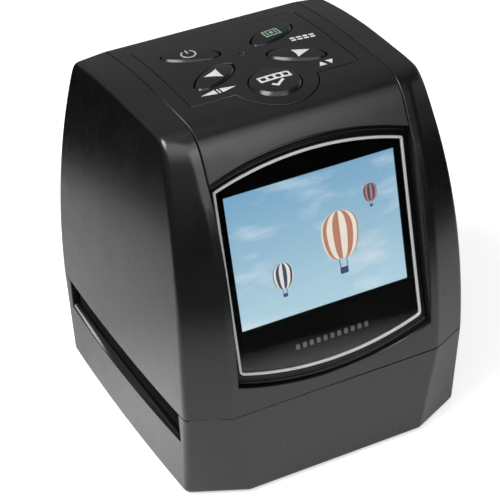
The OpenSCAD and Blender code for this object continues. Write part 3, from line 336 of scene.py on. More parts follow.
class Mesh:
    # points, their normals (zero where Blender is to work them out) and faces, until the mesh is made
    def __init__(self):
        self.points, self.normals, self.faces, self.count = [], [], [], 0

    def add(self, points, normals=None):
        self.points.append(points)
        self.normals.append(np.zeros_like(points) if normals is None else normals)
        self.count += len(points)
        return np.arange(self.count - len(points), self.count)

    def strips(self, rows):
        # faces between each closed row and the next, all of the same length
        for a, b in zip(rows, rows[1:]):
            self.faces += [tuple(f) for f in np.c_[a, np.roll(a, -1), np.roll(b, -1), b]]

    def fan(self, row, tip, normal=None):
        tip = self.add(tip, normal)[0]
        self.faces += [(a, b, tip) for a, b in zip(row, np.roll(row, -1))]

    def build(self, name, finish, rideOn, slotName, *nodes):
        # makes the piece, which moves with a body, has the given finish and stands for nodes; slotName is not
        # used
        mesh = bpy.data.meshes.new(name)
        mesh.from_pydata((np.concatenate(self.points) * 0.001).tolist(), [],
                         [tuple(int(v) for v in f) for f in self.faces])
        bm = bmesh.new()
        bm.from_mesh(mesh)
        bmesh.ops.recalc_face_normals(bm, faces=bm.faces)
        bm.to_mesh(mesh)
        bm.free()
        mesh.polygons.foreach_set("use_smooth", [True] * len(mesh.polygons))
        mesh.set_sharp_from_angle(angle=math.radians(32))
        mesh.materials.append(finish)
        given = np.concatenate(self.normals)
        if np.abs(given).max() > 0:
            corners = np.empty(len(mesh.loops), int)
            mesh.loops.foreach_get("vertex_index", corners)
            mesh.normals_split_custom_set(given[corners].tolist())
        piece = bpy.data.objects.new(name, mesh)
        bpy.context.scene.collection.objects.link(piece)
        if nodes:
            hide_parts(*nodes)
        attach(piece, rideOn)
        return piece


def turned(v, deg):
    c, s = math.cos(math.radians(deg)), math.sin(math.radians(deg))
    return np.asarray(v) @ np.array([[c, s], [-s, c]])


def shell(name, skin, rims, thick, finish, fit, edge=0.2, coarse=4.0, fine=0.6, bend=5.0, steps=4):
    # A closed shell. Each rim is a dictionary: "at" gives the edge at a distance d into the surface,
    # "walls" the rows that go inwards from it, and "blind" closes it. fit is the body, the slot and the node.
    mesh = Mesh()
    outer, outerRims, inner, innerRims = [], [], [], []
    angles = np.radians(np.linspace(0, 90, steps))
    for rim in rims:
        e = rim.get("edge", edge)
        lines = [rim["at"](e * (1 - math.cos(a))) for a in angles]
        walls = rim["walls"](lines[0]) if "walls" in rim else [lines[0] - skin.normal(lines[0]) * thick]
        down = unitRows(walls[0] - lines[0])
        away = lines[0] - lines[-1]
        away = unitRows(away - (away * down).sum(1, keepdims=True) * down)
        ids = [mesh.add(w) for w in walls[::-1]]
        for a, line in zip(angles, lines):
            n = skin.normal(line)
            ids.append(mesh.add(line - n * e * (1 - math.sin(a)),
                                unitRows(math.cos(a) * away + math.sin(a) * n)))
        mesh.strips(ids)
        outer.append(ids[-1])
        outerRims.append(lines[-1])
        if rim.get("blind"):
            mesh.fan(ids[0], walls[-1].mean(0, keepdims=True))
        else:
            inner.append(ids[0])
            innerRims.append(walls[-1])
    for edges, edgeIds, depth in ((outerRims, outer, 0), (innerRims, inner, thick)):
        flats = [skin.project(line) for line in edges]
        grading = (2.2 * coarse, 2.2 * coarse, 20) if depth else (coarse, fine, bend)
        p, uv, span = gradedPoints(skin, flats, *grading)
        if depth:
            p = skin.at(uv, depth)
        keep = clearOf(p, edges, (0.5 if depth else 0.6) * span + depth)
        p, uv = p[keep], uv[keep]
        ids = np.concatenate(edgeIds + [mesh.add(p, None if depth else skin.normal(p))])
        mesh.faces += [tuple(ids[list(f)]) for f in fillRegion(flats, uv)]
    piece = mesh.build(name, finish, *fit)
    print(name, len(piece.data.polygons), "faces")
    return piece


class Graph:
    # a node tree with short ways to add nodes
    def __init__(self, tree):
        self.nodes, self.links = tree.nodes, tree.links

    def fill(self, node, inputs):
        # an input is a value to set or a socket to link
        for key, v in inputs.items():
            if isinstance(v, bpy.types.NodeSocket):
                self.links.new(v, node.inputs[key])
            else:
                node.inputs[key].default_value = v

    def add(self, kind, inputs=(), **settings):
        node = self.nodes.new("ShaderNode" + kind)
        for key, v in settings.items():
            setattr(node, key, v)
        self.fill(node, dict(inputs))
        return node

    def place(self):
        return (self.nodes.get("place") or self.add("TexCoord", name="place")).outputs["Object"]

    def noise(self, size, detail=2.0, rough=0.5):
        # a noise whose blots are about size mm across
        return self.add("TexNoise", {"Scale": 1000 / size, "Detail": detail, "Roughness": rough,
                                     "Vector": self.place()}).outputs["Fac"]

    def spread(self, value, low, high, fromLow=0.3, fromHigh=0.7):
        return self.add("MapRange", {"Value": value, "From Min": fromLow, "From Max": fromHigh,
                                     "To Min": low, "To Max": high}).outputs["Result"]

    def blend(self, factor, a, b):
        a, b = (c if isinstance(c, bpy.types.NodeSocket) else (*c, 1) for c in (a, b))
        return self.add("Mix", {"Factor": factor, "A": a, "B": b}, data_type="RGBA").outputs["Result"]

    def maths(self, operation, a, b):
        return self.add("Math", {0: a, 1: b}, operation=operation).outputs[0]


def newMaterial(name):
    m = bpy.data.materials.new(name)
    m.use_nodes = True
    return m, Graph(m.node_tree), m.node_tree.nodes["Principled BSDF"]


grainDepth = 0.00005  # metres


def finish(name, colour, rough, roughSpread=0.04, patch=6.0, grain=0.25, bump=0.0, shade=0.12,
           metal=0.0, ior=1.5, clear=0.0, specular=0.5):
    # a moulded, painted or rolled surface with its own grain, cloudiness and sheen
    m, graph, shader = newMaterial(name)
    cloud = graph.noise(patch, 3.0)
    low, high = (tuple(min(1, c * (1 + s)) for c in colour) for s in (-shade, shade))
    graph.fill(shader, {"Base Color": graph.blend(cloud, low, high), "Metallic": metal, "IOR": ior,
                        "Roughness": graph.spread(cloud, rough - roughSpread, rough + roughSpread),
                        "Specular IOR Level": specular, "Transmission Weight": clear})
    if bump:
        grains = graph.add("Bump", {"Strength": bump, "Distance": grainDepth,
                                    "Height": graph.noise(grain, 1.0)})
        graph.fill(shader, {"Normal": grains.outputs["Normal"]})
    return m


moulded = {"roughSpread": 0.02, "patch": 9.0, "grain": 0.35, "bump": 0.1, "ior": 1.65}
housingPlastic = finish("housingPlastic", (0.006, 0.006, 0.0065), 0.27, **moulded)
coverPlastic = finish("coverPlastic", (0.005, 0.005, 0.0055), 0.3, **moulded)

# Window: a flat frame of reference that leans back with the front
window = {"tilt": 12.05, "length": 66.87, "recessGap": 2.3, "low": 4.2, "archR": 88.0, "pictureDrop": 25.87,
          "pictureW": 48.96, "pictureH": 36.72, "seat": -1.6}
windowTop = window["length"] + window["recessGap"]
pictureMid = window["length"] - window["pictureDrop"]
tilt = math.radians(window["tilt"])
windowUp = np.array([0, math.sin(tilt), math.cos(tilt)])
windowOut = np.array([0, -math.cos(tilt), math.sin(tilt)])
windowFoot = np.array([0, -body["half"], body["jointZ"]])


def onWindow(x, s, n=0.0):
    x, s = np.broadcast_arrays(np.asarray(x, float), np.asarray(s, float))
    return windowFoot + np.outer(s, windowUp) + n * windowOut + np.c_[x, x * 0, x * 0]


def windowRun(p):
    return (p - windowFoot) @ windowUp


def lowArc(x):
    return window["low"] + window["archR"] - np.sqrt(window["archR"] ** 2 - x ** 2)


def highArc(x):
    return windowTop - window["archR"] + np.sqrt(window["archR"] ** 2 - x ** 2)


def fromWindow(x, s, level=0.0, field=bodyField):
    # the place on the body's skin straight out from a point of the window
    return castTo(field, onWindow(x, s, -12.0), windowOut, -level, 0, 40)


def spacedOut(points, length=1.2, bend=7.0):
    # fractions along a closely sampled line, closer together where it bends
    step = np.diff(points, axis=0)
    size = np.linalg.norm(step, axis=1)
    way = step / size[:, None]
    turn = np.degrees(np.arccos(np.clip((way[1:] * way[:-1]).sum(1), -1, 1)))
    cost = np.r_[0, np.cumsum(size / length + np.r_[0, turn] / bend)]
    count = max(3, int(math.ceil(cost[-1])) + 1)
    return np.interp(np.linspace(0, cost[-1], count), cost, np.linspace(0, 1, len(points)))


bandRim = {"x": 28.65, "lowZ": 30.95, "crossPoints": 48, "frontRun": 8, "backRun": 3.3}
bandShare = spacedOut(alongBand(np.linspace(bandRim["frontRun"], bandRun[-1] - bandRim["backRun"], 2000)))


def bandEdge(d):
    # the housing's edge round the window, the top cover and the rear panel
    x = bandRim["x"] + d
    lowCorner = fromWindow(np.array([x]), lowArc(np.array([x])) - d)[0]
    zBack = bandRim["lowZ"] - d
    first, last = runOf(lowCorner[1], lowCorner[2]), runOf(backY(zBack), zBack)
    runs = first + (last - first) * bandShare[1:-1]
    yz = alongBand(runs)
    away = awayFromBand(runs)
    left = castTo(bodyField, np.c_[np.full(len(runs), -x), yz - 6 * away], np.c_[runs * 0, away], 0, 0, 12)
    across = np.linspace(-x, x, bandRim["crossPoints"])
    back = castTo(bodyField, np.c_[across, across * 0, across * 0 + zBack], [0, 1, 0])
    front = fromWindow(across[::-1], lowArc(across[::-1]) - d)
    return np.concatenate([left, back, left[::-1] * [-1, 1, 1], front])


def bandWalls(edge):
    s = windowRun(edge)
    inWindow = (edge[:, 1] < -10) & (s < highArc(bandRim["x"]) + 0.3)
    low = onWindow(edge[:, 0], s, window["seat"] - 0.1)
    n = skinTop.normal(edge)
    n[:, 0] = 0
    return [np.where(inWindow[:, None], low, edge - body["wall"] * unitRows(n))]


def ringAt(z, turn):
    way = np.c_[np.cos(turn), np.sin(turn), turn * 0]
    return castTo(bodyField, [0, 0, z], way)


aroundJoint = 2 * math.pi * spacedOut(ringAt(body["jointZ"], np.linspace(0, 2 * math.pi, 3000)))[:-1]


def jointEdge(z):
    return lambda d: ringAt(z + d, aroundJoint)


def jointWalls(edge):
    return [castTo(bodyField, [0, 0, edge[0, 2]], unitRows(edge * [1, 1, 0]), -body["wall"])]


skinTop = BodySkin(45.0, 1)
shell("mainHousing", skinTop,
      [{"at": jointEdge(body["jointZ"] + body["seam"]), "walls": jointWalls, "edge": 0.25},
       {"at": bandEdge, "walls": bandWalls, "edge": 0.3}],
      body["wall"], housingPlastic, ("body", "housing_plastic", "main_housing"))

# Base: the film slot's mouths, and the underside with its vents, screw wells and feet
base = {"slotY": (-34.3, 37.5), "slotZ": 19.0, "lipX": 41.25, "lipFall": 1.9 / 3.0, "opticY": 1.6,
        "ventL": 18.0, "ventW": 1.6, "ventPitch": 4.0, "wells": [(33, -33.75), (33, 36.95)], "wellR": 2.6,
        "wellTop": 11.0, "feet": [(34, -23), (34, 27)], "footR": 4.3, "footTop": 1.8,
        "mouthX": 42.9, "mouthZ": 27.6, "lipStart": 17.9}


def sidePoint(side, y, z, level=0.0):
    return castTo(bodyField, np.c_[y * 0, y, z], [side, 0, 0], -level)


def lipZ(side, y):
    # the height of the lip, which falls outwards, at the body's skin
    z = np.full(len(y), base["lipStart"])
    for _ in range(4):
        z = base["slotZ"] - (np.abs(sidePoint(side, y, z)[:, 0]) - base["lipX"]) * base["lipFall"]
    return z


def slotNotch(side, d):
    # down the front end of the slot's mouth, along its lip and up its back end
    y0, y1 = base["slotY"][0] - d, base["slotY"][1] + d
    top = body["jointZ"] - body["seam"] - d
    lipY = np.linspace(y0, y1, 60)
    low = lipZ(side, lipY) - d
    down = np.linspace(top, low[0], 8)[:-1]
    up = np.linspace(low[-1], top, 8)[1:]
    y = np.r_[down * 0 + y0, lipY, up * 0 + y1]
    z = np.r_[down, low, up]
    return y, z


slotTurns = [math.atan2(y, base["mouthX"]) for y in base["slotY"]]
backShare = spacedOut(ringAt(base["mouthZ"], np.linspace(slotTurns[1], math.pi - slotTurns[1], 1500)))
frontShare = spacedOut(ringAt(base["mouthZ"], np.linspace(-math.pi - slotTurns[0], slotTurns[0], 1500)))


def baseEdge(d):
    # the right notch, the back, the left notch and the front
    top = body["jointZ"] - body["seam"] - d
    y, z = slotNotch(1, d)
    notch = sidePoint(1, y, z)
    turns = [math.atan2(p[1], p[0]) for p in (notch[-1], notch[0])]
    back = turns[0] + (math.pi - 2 * turns[0]) * backShare[1:-1]
    front = -math.pi - turns[1] + (math.pi + 2 * turns[1]) * frontShare[1:-1]
    return np.concatenate([notch, ringAt(top, back), notch[::-1] * [-1, 1, 1], ringAt(top, front)])


def baseWalls(edge):
    n, nBack = len(slotNotch(1, 0)[0]), len(backShare) - 2
    middle, inner = edge.copy(), edge.copy()
    for a, b, side in ((0, n, 1), (n + nBack, 2 * n + nBack, -1)):
        y, z = edge[a:b, 1], edge[a:b, 2]
        inner[a:b] = sidePoint(side, y, np.maximum(z, base["slotZ"]), body["wall"])
        halfway = (inner[a:b, 0] + edge[a:b, 0]) / 2
        middle[a:b] = inner[a:b]
        middle[a:b, 0] = np.where(z < base["slotZ"], side * base["lipX"], halfway)
    for a, b, y in ((n, n + nBack, base["slotY"][1]), (2 * n + nBack, len(edge), base["slotY"][0])):
        foot = np.array([0, y, edge[a, 2]])
        inner[a:b] = castTo(bodyField, foot, unitRows(edge[a:b] - foot), -body["wall"])
        middle[a:b] = (edge[a:b] + inner[a:b]) / 2
    return [middle, inner]


def arcPoints(cx, cy, r, a0, a1, count):
    a = np.radians(np.linspace(a0, a1, count))
    return np.c_[cx + r * np.cos(a), cy + r * np.sin(a)]


def straight(a, b, count):
    return np.array(a) + (np.array(b) - a) * np.linspace(0, 1, count + 2)[1:-1, None]


def roundedBox(cx, cy, w, h, r, cornerPoints=5, sidePoints=6):
    signs = ((1, 1), (-1, 1), (-1, -1), (1, -1))
    arcs = [arcPoints(cx + sx * (w / 2 - r), cy + sy * (h / 2 - r), r, 90 * k, 90 * k + 90, cornerPoints)
            for k, (sx, sy) in enumerate(signs)]
    return np.concatenate([line for arc, after in zip(arcs, arcs[1:] + arcs[:1])
                           for line in (arc, straight(arc[-1], after[0], sidePoints))])


def circle(cx, cy, r, count=48):
    a = np.radians(np.arange(count) * 360 / count)
    return np.c_[cx + r * np.cos(a), cy + r * np.sin(a)]


def underside(outline, top, blind):
    return {"at": lambda d: np.c_[outline(d), np.full(len(outline(d)), body["bottomZ"])],
            "walls": lambda e: [e * [1, 1, 0] + [0, 0, top]], "blind": blind, "edge": 0.2}


def ventOutline(i):
    y = base["opticY"] + i * base["ventPitch"]
    return lambda d: roundedBox(0, y, base["ventL"] + 2 * d, base["ventW"] + 2 * d, 0.5 + d)


def roundHole(x, y, r, top):
    return underside(lambda d: circle(x, y, r + d), top, True)


skinBase = BodySkin(14.0, -1)
rims = [{"at": baseEdge, "walls": baseWalls, "edge": 0.25}]
rims += [underside(ventOutline(i), body["bottomZ"] + body["wall"], False) for i in range(-3, 4)]
for side in (-1, 1):
    rims += [roundHole(side * x, y, base["wellR"], base["wellTop"]) for x, y in base["wells"]]
    rims += [roundHole(side * x, y, base["footR"], base["footTop"]) for x, y in base["feet"]]
shell("baseHousing", skinBase, rims, body["wall"], housingPlastic,
      ("body", "housing_plastic", "base_housing"))
print("housings made")

# Strips over the top and down the back
bandSkin = BandSkin()
cover = {"x": 28.55, "seamZ": 86.0, "gap": 0.05, "thick": 2.0, "archSeat": -1.0, "edge": 0.28,
         "crossPoints": 48, "frontRun": 66}
keypad = {"halfW": 24.0, "frontY": -13.9, "backY": 22.7, "corner": 0.6, "bulgeR": 11.7, "bulgeY": -11.9,
          "scanY": -13.0, "groove": 0.15, "thick": 1.1, "edge": 0.22, "keyGap": 0.4,
          "lightY": 5.1, "lightR": 1.0}
ovals = {"power": (-11.9, 11.7, -25.5), "menu": (11.9, 11.7, 25.5),
         "mirror": (-11.9, -2.4, 32), "flip": (11.9, -2.4, -32)}
ovalSize = (7.7, 3.4)
scanR = 6.65


def onTop(xy, lift=0.0):
    run = np.interp(xy[:, 1], bandLine[:, 0], bandRun)
    return bandSkin.at(np.c_[xy[:, 0], run], -lift)


def bandField(p):
    return sideBlock(p[:, 1], p[:, 2])


def backRun(z):
    return runOf(backY(z), z)


def coverEdge(d):
    x = cover["x"] - d
    archLift = cover["gap"] + d
    corner = fromWindow(np.array([x]), highArc(np.array([x])) + archLift, 0, bandField)[0]
    first, last = runOf(corner[1], corner[2]), backRun(cover["seamZ"] + cover["gap"] + d)
    runs = first + (last - first) * coverShare[1:-1]
    left = bandSkin.at(np.c_[runs * 0 - x, runs])
    across = np.linspace(-x, x, cover["crossPoints"])
    back = bandSkin.at(np.c_[across, across * 0 + last])
    arch = fromWindow(across[::-1], highArc(across[::-1]) + archLift, 0, bandField)
    return np.concatenate([left, back, left[::-1] * [-1, 1, 1], arch])


def coverWalls(edge):
    arch = np.zeros(len(edge), bool)
    arch[-cover["crossPoints"]:] = True
    low = onWindow(edge[:, 0], windowRun(edge), cover["archSeat"])
    return [np.where(arch[:, None], low, edge - cover["thick"] * bandSkin.normal(edge))]


coverShare = spacedOut(alongBand(np.linspace(cover["frontRun"], backRun(cover["seamZ"]), 2000)))


def fieldOutline(g):
    # the keypad's outline, grown by g: straight edges and a round bulge in front
    w, y0, y1 = keypad["halfW"] + g, keypad["frontY"] - g, keypad["backY"] + g
    r, bulge = max(0.2, keypad["corner"] + g), keypad["bulgeR"] + g
    dip = math.degrees(math.asin((keypad["bulgeY"] - y0) / bulge))
    bx = bulge * math.cos(math.radians(dip))
    return np.concatenate([
        arcPoints(w - r, y1 - r, r, 0, 90, 6), straight((w - r, y1), (-w + r, y1), 30),
        arcPoints(-w + r, y1 - r, r, 90, 180, 6), straight((-w, y1 - r), (-w, y0 + r), 24),
        arcPoints(-w + r, y0 + r, r, 180, 270, 6), straight((-w + r, y0), (-bx, y0), 10),
        arcPoints(0, keypad["bulgeY"], bulge, 180 + dip, 360 - dip, 40),
        straight((bx, y0), (w - r, y0), 10), arcPoints(w - r, y0 + r, r, 270, 360, 6),
        straight((w, y0 + r), (w, y1 - r), 24)])


def keyPlace(name):
    return (0, keypad["scanY"]) if name == "scan" else ovals[name][:2]


def ovalOutline(name, grow, count=72):
    x, y, tiltBy = ovals[name]
    a = np.radians(np.arange(count) * 360 / count)
    flat = np.c_[(ovalSize[0] + grow) * np.cos(a), (ovalSize[1] + grow) * np.sin(a)]
    return turned(flat, tiltBy) + [x, y]


def coverHole(d):
    return onTop(fieldOutline(keypad["groove"] + d))


shell("topCover", bandSkin,
      [{"at": coverEdge, "walls": coverWalls}, {"at": coverHole, "edge": keypad["edge"]}],
      cover["thick"], coverPlastic, ("body", "cover_plastic", "top_cover"), cover["edge"])

keyRims = [{"at": lambda d: onTop(fieldOutline(-d))},
           {"at": lambda d: onTop(circle(0, keypad["lightY"], keypad["lightR"] + d, 32))},
           {"at": lambda d: onTop(circle(0, keypad["scanY"], scanR + keypad["keyGap"] + d, 72))}]
for key in ovals:
    keyRims.append({"at": lambda d, key=key: onTop(ovalOutline(key, keypad["keyGap"] + d))})
shell("keypadPanel", bandSkin, keyRims, keypad["thick"], coverPlastic,
      ("body", "keypad_plastic", "keypad_panel"), keypad["edge"], 2.5)

rear = {"x": 28.55, "low": 31.05, "high": 85.95, "thick": 2.0, "edge": 0.25,
        "usb": (-16.0, 73.65, 8.4, 4.7), "av": (-3.0, 74.6, 3.5), "card": (9.5, 68.05, 26.0, 3.5),
        "ventW": 28.0, "ventH": 1.5, "ventZ": 35.7, "ventPitch": 3.4, "vents": 7}


def onBack(xz):
    return np.c_[xz[:, 0], backY(xz[:, 1]), xz[:, 1]]


def rearEdge(d):
    x, low, high = rear["x"] - d, rear["low"] + d, rear["high"] - d
    z, across = np.linspace(low, high, 40), np.linspace(-x, x, 40)
    return onBack(np.concatenate([np.c_[across, across * 0 + low][:-1], np.c_[z * 0 + x, z][:-1],
                                  np.c_[-across, across * 0 + high][:-1], np.c_[z * 0 - x, z[::-1]][:-1]]))


def holeAt(cx, cz, w, h, r):
    return {"at": lambda d: onBack(roundedBox(cx, cz, w + 2 * d, h + 2 * d, r + d))}


rearRims = [{"at": rearEdge}, holeAt(*rear["usb"], 0.5), holeAt(*rear["card"], 0.4),
            {"at": lambda d: onBack(circle(rear["av"][0], rear["av"][1], rear["av"][2] + d))}]
for i in range(rear["vents"]):
    ventMid = rear["ventZ"] + rear["ventH"] / 2 + i * rear["ventPitch"]
    rearRims.append(holeAt(0, ventMid, rear["ventW"], rear["ventH"], 0.5))
shell("rearPanel", bandSkin, rearRims, rear["thick"], coverPlastic,
      ("body", "cover_plastic", "rear_panel"), rear["edge"])
print("cover, keypad and rear panel made")

# Keys: caps with a flange below the panel and a rounded, domed top
keyLook = {"flangeZ": 99.4, "flangeT": 0.8, "rim": 0.9, "draft": 0.45, "drop": 0.5, "round": 0.28,
           "ovalDome": (45.0, 0.68), "scanDome": (60.0, 0.98), "plungerR": 1.6, "stemZ": 98.2}
keyPlastic = finish("keyPlastic", (0.012, 0.0125, 0.014), 0.22, 0.02, 7.0, 0.3, 0.1, ior=1.5)


def domeOf(name):
    # the radius of a key's dome, and how far its middle stands above the panel
    return keyLook["scanDome" if name == "scan" else "ovalDome"]


def keyDome(name, xy):
    (x, y), (r, proud) = keyPlace(name), domeOf(name)
    far2 = (xy[:, 0] - x) ** 2 + (xy[:, 1] - y) ** 2
    return topZ(np.array([y]))[0] + proud - (r - np.sqrt(r * r - far2))


def keyCap(name):
    middle, dome = np.array(keyPlace(name)), domeOf(name)[0]
    skirt = circle(*middle, scanR, 96) if name == "scan" else ovalOutline(name, 0)
    away = unitRows((np.roll(skirt, -1, axis=0) - np.roll(skirt, 1, axis=0)) @ np.array([[0, -1], [1, 0]]))
    mesh, rows = Mesh(), []

    def grown(by):
        return skirt + by * away

    def row(line, z, normals=None):
        rows.append(mesh.add(np.c_[line, np.broadcast_to(z, len(line))], normals))

    def domeWay(line):
        return unitRows(np.c_[(line - middle) / dome, np.ones(len(line))])
    # up the stem, round the flange below the panel and up to it again
    stem = middle + keyLook["plungerR"] * unitRows(skirt - middle)
    z0, z1 = keyLook["flangeZ"], keyLook["flangeZ"] + keyLook["flangeT"]
    flange = grown(keyLook["rim"])
    for line, z in ((stem, keyLook["stemZ"]), (stem, z0), (flange, z0), (flange, z1), (skirt, z1)):
        row(line, z)
    # the wall stands upright in its hole and slopes in above the panel, then rounds over to the dome
    lean = math.atan2(keyLook["draft"], keyLook["drop"])
    r = keyLook["round"]
    cut = keyLook["draft"] + r * math.tan((math.pi / 2 - lean) / 2)

    def wallWay(turn):
        return np.c_[away * math.cos(turn), np.full(len(away), math.sin(turn))]
    row(skirt, keyDome(name, grown(-keyLook["draft"])) - keyLook["drop"], wallWay(lean))
    for f in np.linspace(0, 1, 6):
        turn = lean + (math.pi / 2 - lean) * f
        inner = grown(r * math.cos(turn) - cut)
        row(inner, keyDome(name, inner) - r * (1 - math.sin(turn)),
            unitRows((1 - f) * wallWay(turn) + f * domeWay(inner)))
    for f in np.linspace(1, 0, 7)[1:-1]:
        line = middle + (inner - middle) * f
        row(line, keyDome(name, line), domeWay(line))
    mesh.strips(rows)
    mesh.fan(rows[0], np.array([[*middle, keyLook["stemZ"]]]))
    mesh.fan(rows[-1], np.c_[[middle], keyDome(name, np.array([middle]))], np.array([[0, 0, 1.0]]))
    mesh.build(name + "Key", keyPlastic, name + "_key", "key_plastic", name + "_button")


for key in [*ovals, "scan"]:
    keyCap(key)
print("keys made")

# Detent springs: coils of wire, each with a mesh of its own
springLook = {"turns": 4.5, "steps": 24, "wireR": 0.22, "wireSides": 10, "travel": 0.9}
springWire = finish("springWire", (0.48, 0.48, 0.50), 0.28, bump=0.1, metal=1.0)
for end in ("front", "rear"):
    low, high = (np.array(corner) * 1000 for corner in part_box(end + "_detent_spring"))
    foot, wireR = (low + high) / 2 * [1, 1, 0] + low * [0, 0, 1], springLook["wireR"]
    coilR, rise = (high[0] - low[0]) / 2 - wireR, high[2] - low[2]
    count = int(springLook["turns"] * springLook["steps"])
    aroundWire = np.linspace(0, 2 * math.pi, springLook["wireSides"], endpoint=False)[:, None]
    mesh, rings, hearts = Mesh(), [], []
    for i in range(count + 1):
        turn = 2 * math.pi * i / springLook["steps"]
        outward = np.array([[math.cos(turn), math.sin(turn), 0]])
        hearts.append(foot + [0, 0, wireR + (rise - 2 * wireR) * i / count] + coilR * outward)
        wireWay = np.cos(aroundWire) * outward + np.sin(aroundWire) * [0, 0, 1.0]
        rings.append(mesh.add(hearts[-1] + wireR * wireWay))
    mesh.strips(rings)
    for k in (0, -1):
        mesh.fan(rings[k], hearts[k])
    coil = mesh.build(end + "DetentSpring", springWire, "body", "spring_steel", end + "_detent_spring")
    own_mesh(coil)

# Printed marks: thin shapes of ink that follow the surface below them
inkLook = {"lift": 0.012, "depth": 0.05, "grid": 0.5, "edgeRoom": 0.2}
inkWhite, inkGreen, inkRed, inkGrey = (
    finish(name, colour, 0.5, 0.05, 1.2, 0.15, 0.2)
    for name, colour in (("inkWhite", (0.72, 0.73, 0.73)), ("inkGreen", (0.27, 0.44, 0.28)),
                         ("inkRed", (0.50, 0.40, 0.44)), ("inkGrey", (0.20, 0.20, 0.20))))


def printed(name, shapes, place, ink, rideOn, slotName):
    # shapes are closed outlines, each a list that starts with the outer one; place puts x, y on the surface
    mesh = Mesh()
    for loops in shapes:
        loops = [np.array(l, float) for l in loops]
        low, high = loops[0].min(0), loops[0].max(0)
        gx, gy = (np.arange(a + inkLook["grid"] / 2, b, inkLook["grid"]) for a, b in zip(low, high))
        extra = np.stack(np.meshgrid(gx, gy, indexing="ij"), -1).reshape(-1, 2)
        edges = np.concatenate(loops)
        if len(extra):
            near = np.linalg.norm(extra[:, None] - edges[None], axis=2).min(1)
            extra = extra[inRegion(extra, loops) & (near > inkLook["edgeRoom"])]
        flat = np.concatenate([edges, extra]) if len(extra) else edges
        faces = fillRegion(loops, extra)
        top, low = mesh.add(place(flat, inkLook["lift"])), mesh.add(place(flat, -inkLook["depth"]))
        mesh.faces += [tuple(top[list(f)]) for f in faces] + [tuple(low[list(f)][::-1]) for f in faces]
        base = 0
        for loop in loops:
            mesh.strips([side[base:base + len(loop)] for side in (top, low)])
            base += len(loop)
    mesh.build(name, ink, rideOn, slotName)


def bar(x0, y0, x1, y1, w):
    # a stroke between two points
    along = np.array([x1 - x0, y1 - y0], float)
    along /= np.linalg.norm(along)
    across = np.array([-along[1], along[0]]) * w / 2
    a, b = np.array([x0, y0]), np.array([x1, y1])
    return [[a - across, b - across, b + across, a + across]]


def ringPart(r, w, a0, a1, count=36):
    arcs = [arcPoints(0, 0, r + w / 2, a0, a1, count), arcPoints(0, 0, r - w / 2, a1, a0, count)]
    return [np.concatenate(arcs)]


def outlined(x, y, w, h, t, r=0.2):
    # a rectangle drawn with a stroke
    return [roundedBox(x, y, w, h, r, 3, 4), roundedBox(x, y, w - 2 * t, h - 2 * t, 0.08, 3, 4)]


def keyMark(key, shapes, ink, dx=0.0, dy=0.0, spin=0.0):
    x, y = keyPlace(key)

    def place(flat, lift):
        xy = turned(flat, spin) + [x + dx, y + dy]
        return np.c_[xy, keyDome(key, xy) + lift]
    printed(key + "Mark", shapes, place, ink, key + "_key", "key_plastic")


def panelMark(key, shapes, x, y, spin):
    def place(flat, lift):
        return onTop(turned(flat, spin) + [x, y], lift)
    printed(key + "Label", shapes, place, inkWhite, "body", "keypad_plastic")


keyMark("power", [ringPart(1.9, 0.5, 122, 418), bar(0, 0.3, 0, 2.15, 0.5)], inkRed, -0.58, 0.1)
keyMark("menu", [outlined(0, 0, 4.8, 3.2, 0.4), [roundedBox(0, 0, 1.0, 1.2, 0.1, 3, 1)]]
        + [bar(x, -1.0, x, 1.0, 0.36) for x in (-1.25, 1.25)], inkGreen, -0.19, -0.29, 6)
keyMark("mirror", [[[(1.5, 2.4), (-2.9, 0.07), (1.5, -2.15)]]], inkWhite)
keyMark("flip", [[[(-0.77, 1.55), (3.7, -0.3), (-0.77, -2.65)]]], inkWhite)
strip = [roundedBox(0.4, 1.1, 9.0, 2.9, 0.3, 3, 6)]
strip += [roundedBox(0.4 + 2.12 * k, 1.1, 1.36, 1.5, 0.12, 3, 3) for k in (-1.5, -0.5, 0.5, 1.5)]
tick = [(-2.2, -2.35), (-0.75, -3.65), (2.0, -1.35), (1.5, -0.75), (-0.7, -2.6), (-1.65, -1.8)]
keyMark("scan", [strip, [tick]], inkWhite)
panelMark("menu", [[roundedBox(x, y, 1.35, 0.82, 0.12, 3, 2)] for x in (-2.7, -0.9, 0.9, 2.7)
                   for y in (-0.64, 0.64)], 17.85, 5.3, -6)
panelMark("mirror", [[[(-0.75, 1.1), (-5.0, 0), (-0.75, -1.1)]], [[(0.75, 1.1), (0.75, -1.1), (5.0, 0)]],
                     bar(0, -1.1, 0, 1.1, 0.4)], -14.5, -9.95, 3)
panelMark("flip", [[[(-2.35, -1.05), (-0.15, -1.05), (-1.25, 1.1)]],
                   [[(0.15, 1.1), (1.25, -1.05), (2.35, 1.1)]]], 16.2, -10.5, -2)
print("marks printed")

# Window: bezel, silver outline, black printed border under a clear front, and the lit picture
pane = {"bezel": ((0.1, 0.1), (1.4, 2.9)), "trim": ((1.44, 2.94), (2.16, 3.66)), "glass": (2.2, 3.7),
        "trimTop": 0.25, "glassTop": -0.1, "glassLow": -0.5, "maskTop": -0.53, "maskLow": -1.6,
        "pictureTop": -0.85, "pictureLow": -3.15}
bezelPlastic = finish("bezelPlastic", (0.004, 0.004, 0.0045), 0.2, 0.03, 8.0, 0.3, 0.08)
trimSilver = finish("trimSilver", (0.66, 0.66, 0.67), 0.42, 0.04, 3.0, 0.12, 0.2, metal=0.25)
maskInk = finish("maskInk", (0.002, 0.002, 0.0022), 0.35, 0.03, 8.0, 0.3, 0.0, specular=0.1)
clearGlass = finish("clearGlass", (0.98, 0.985, 0.99), 0.03, 0.008, 20.0, 2.0, 0.0,
                    clear=1.0, ior=1.4, shade=0.01)


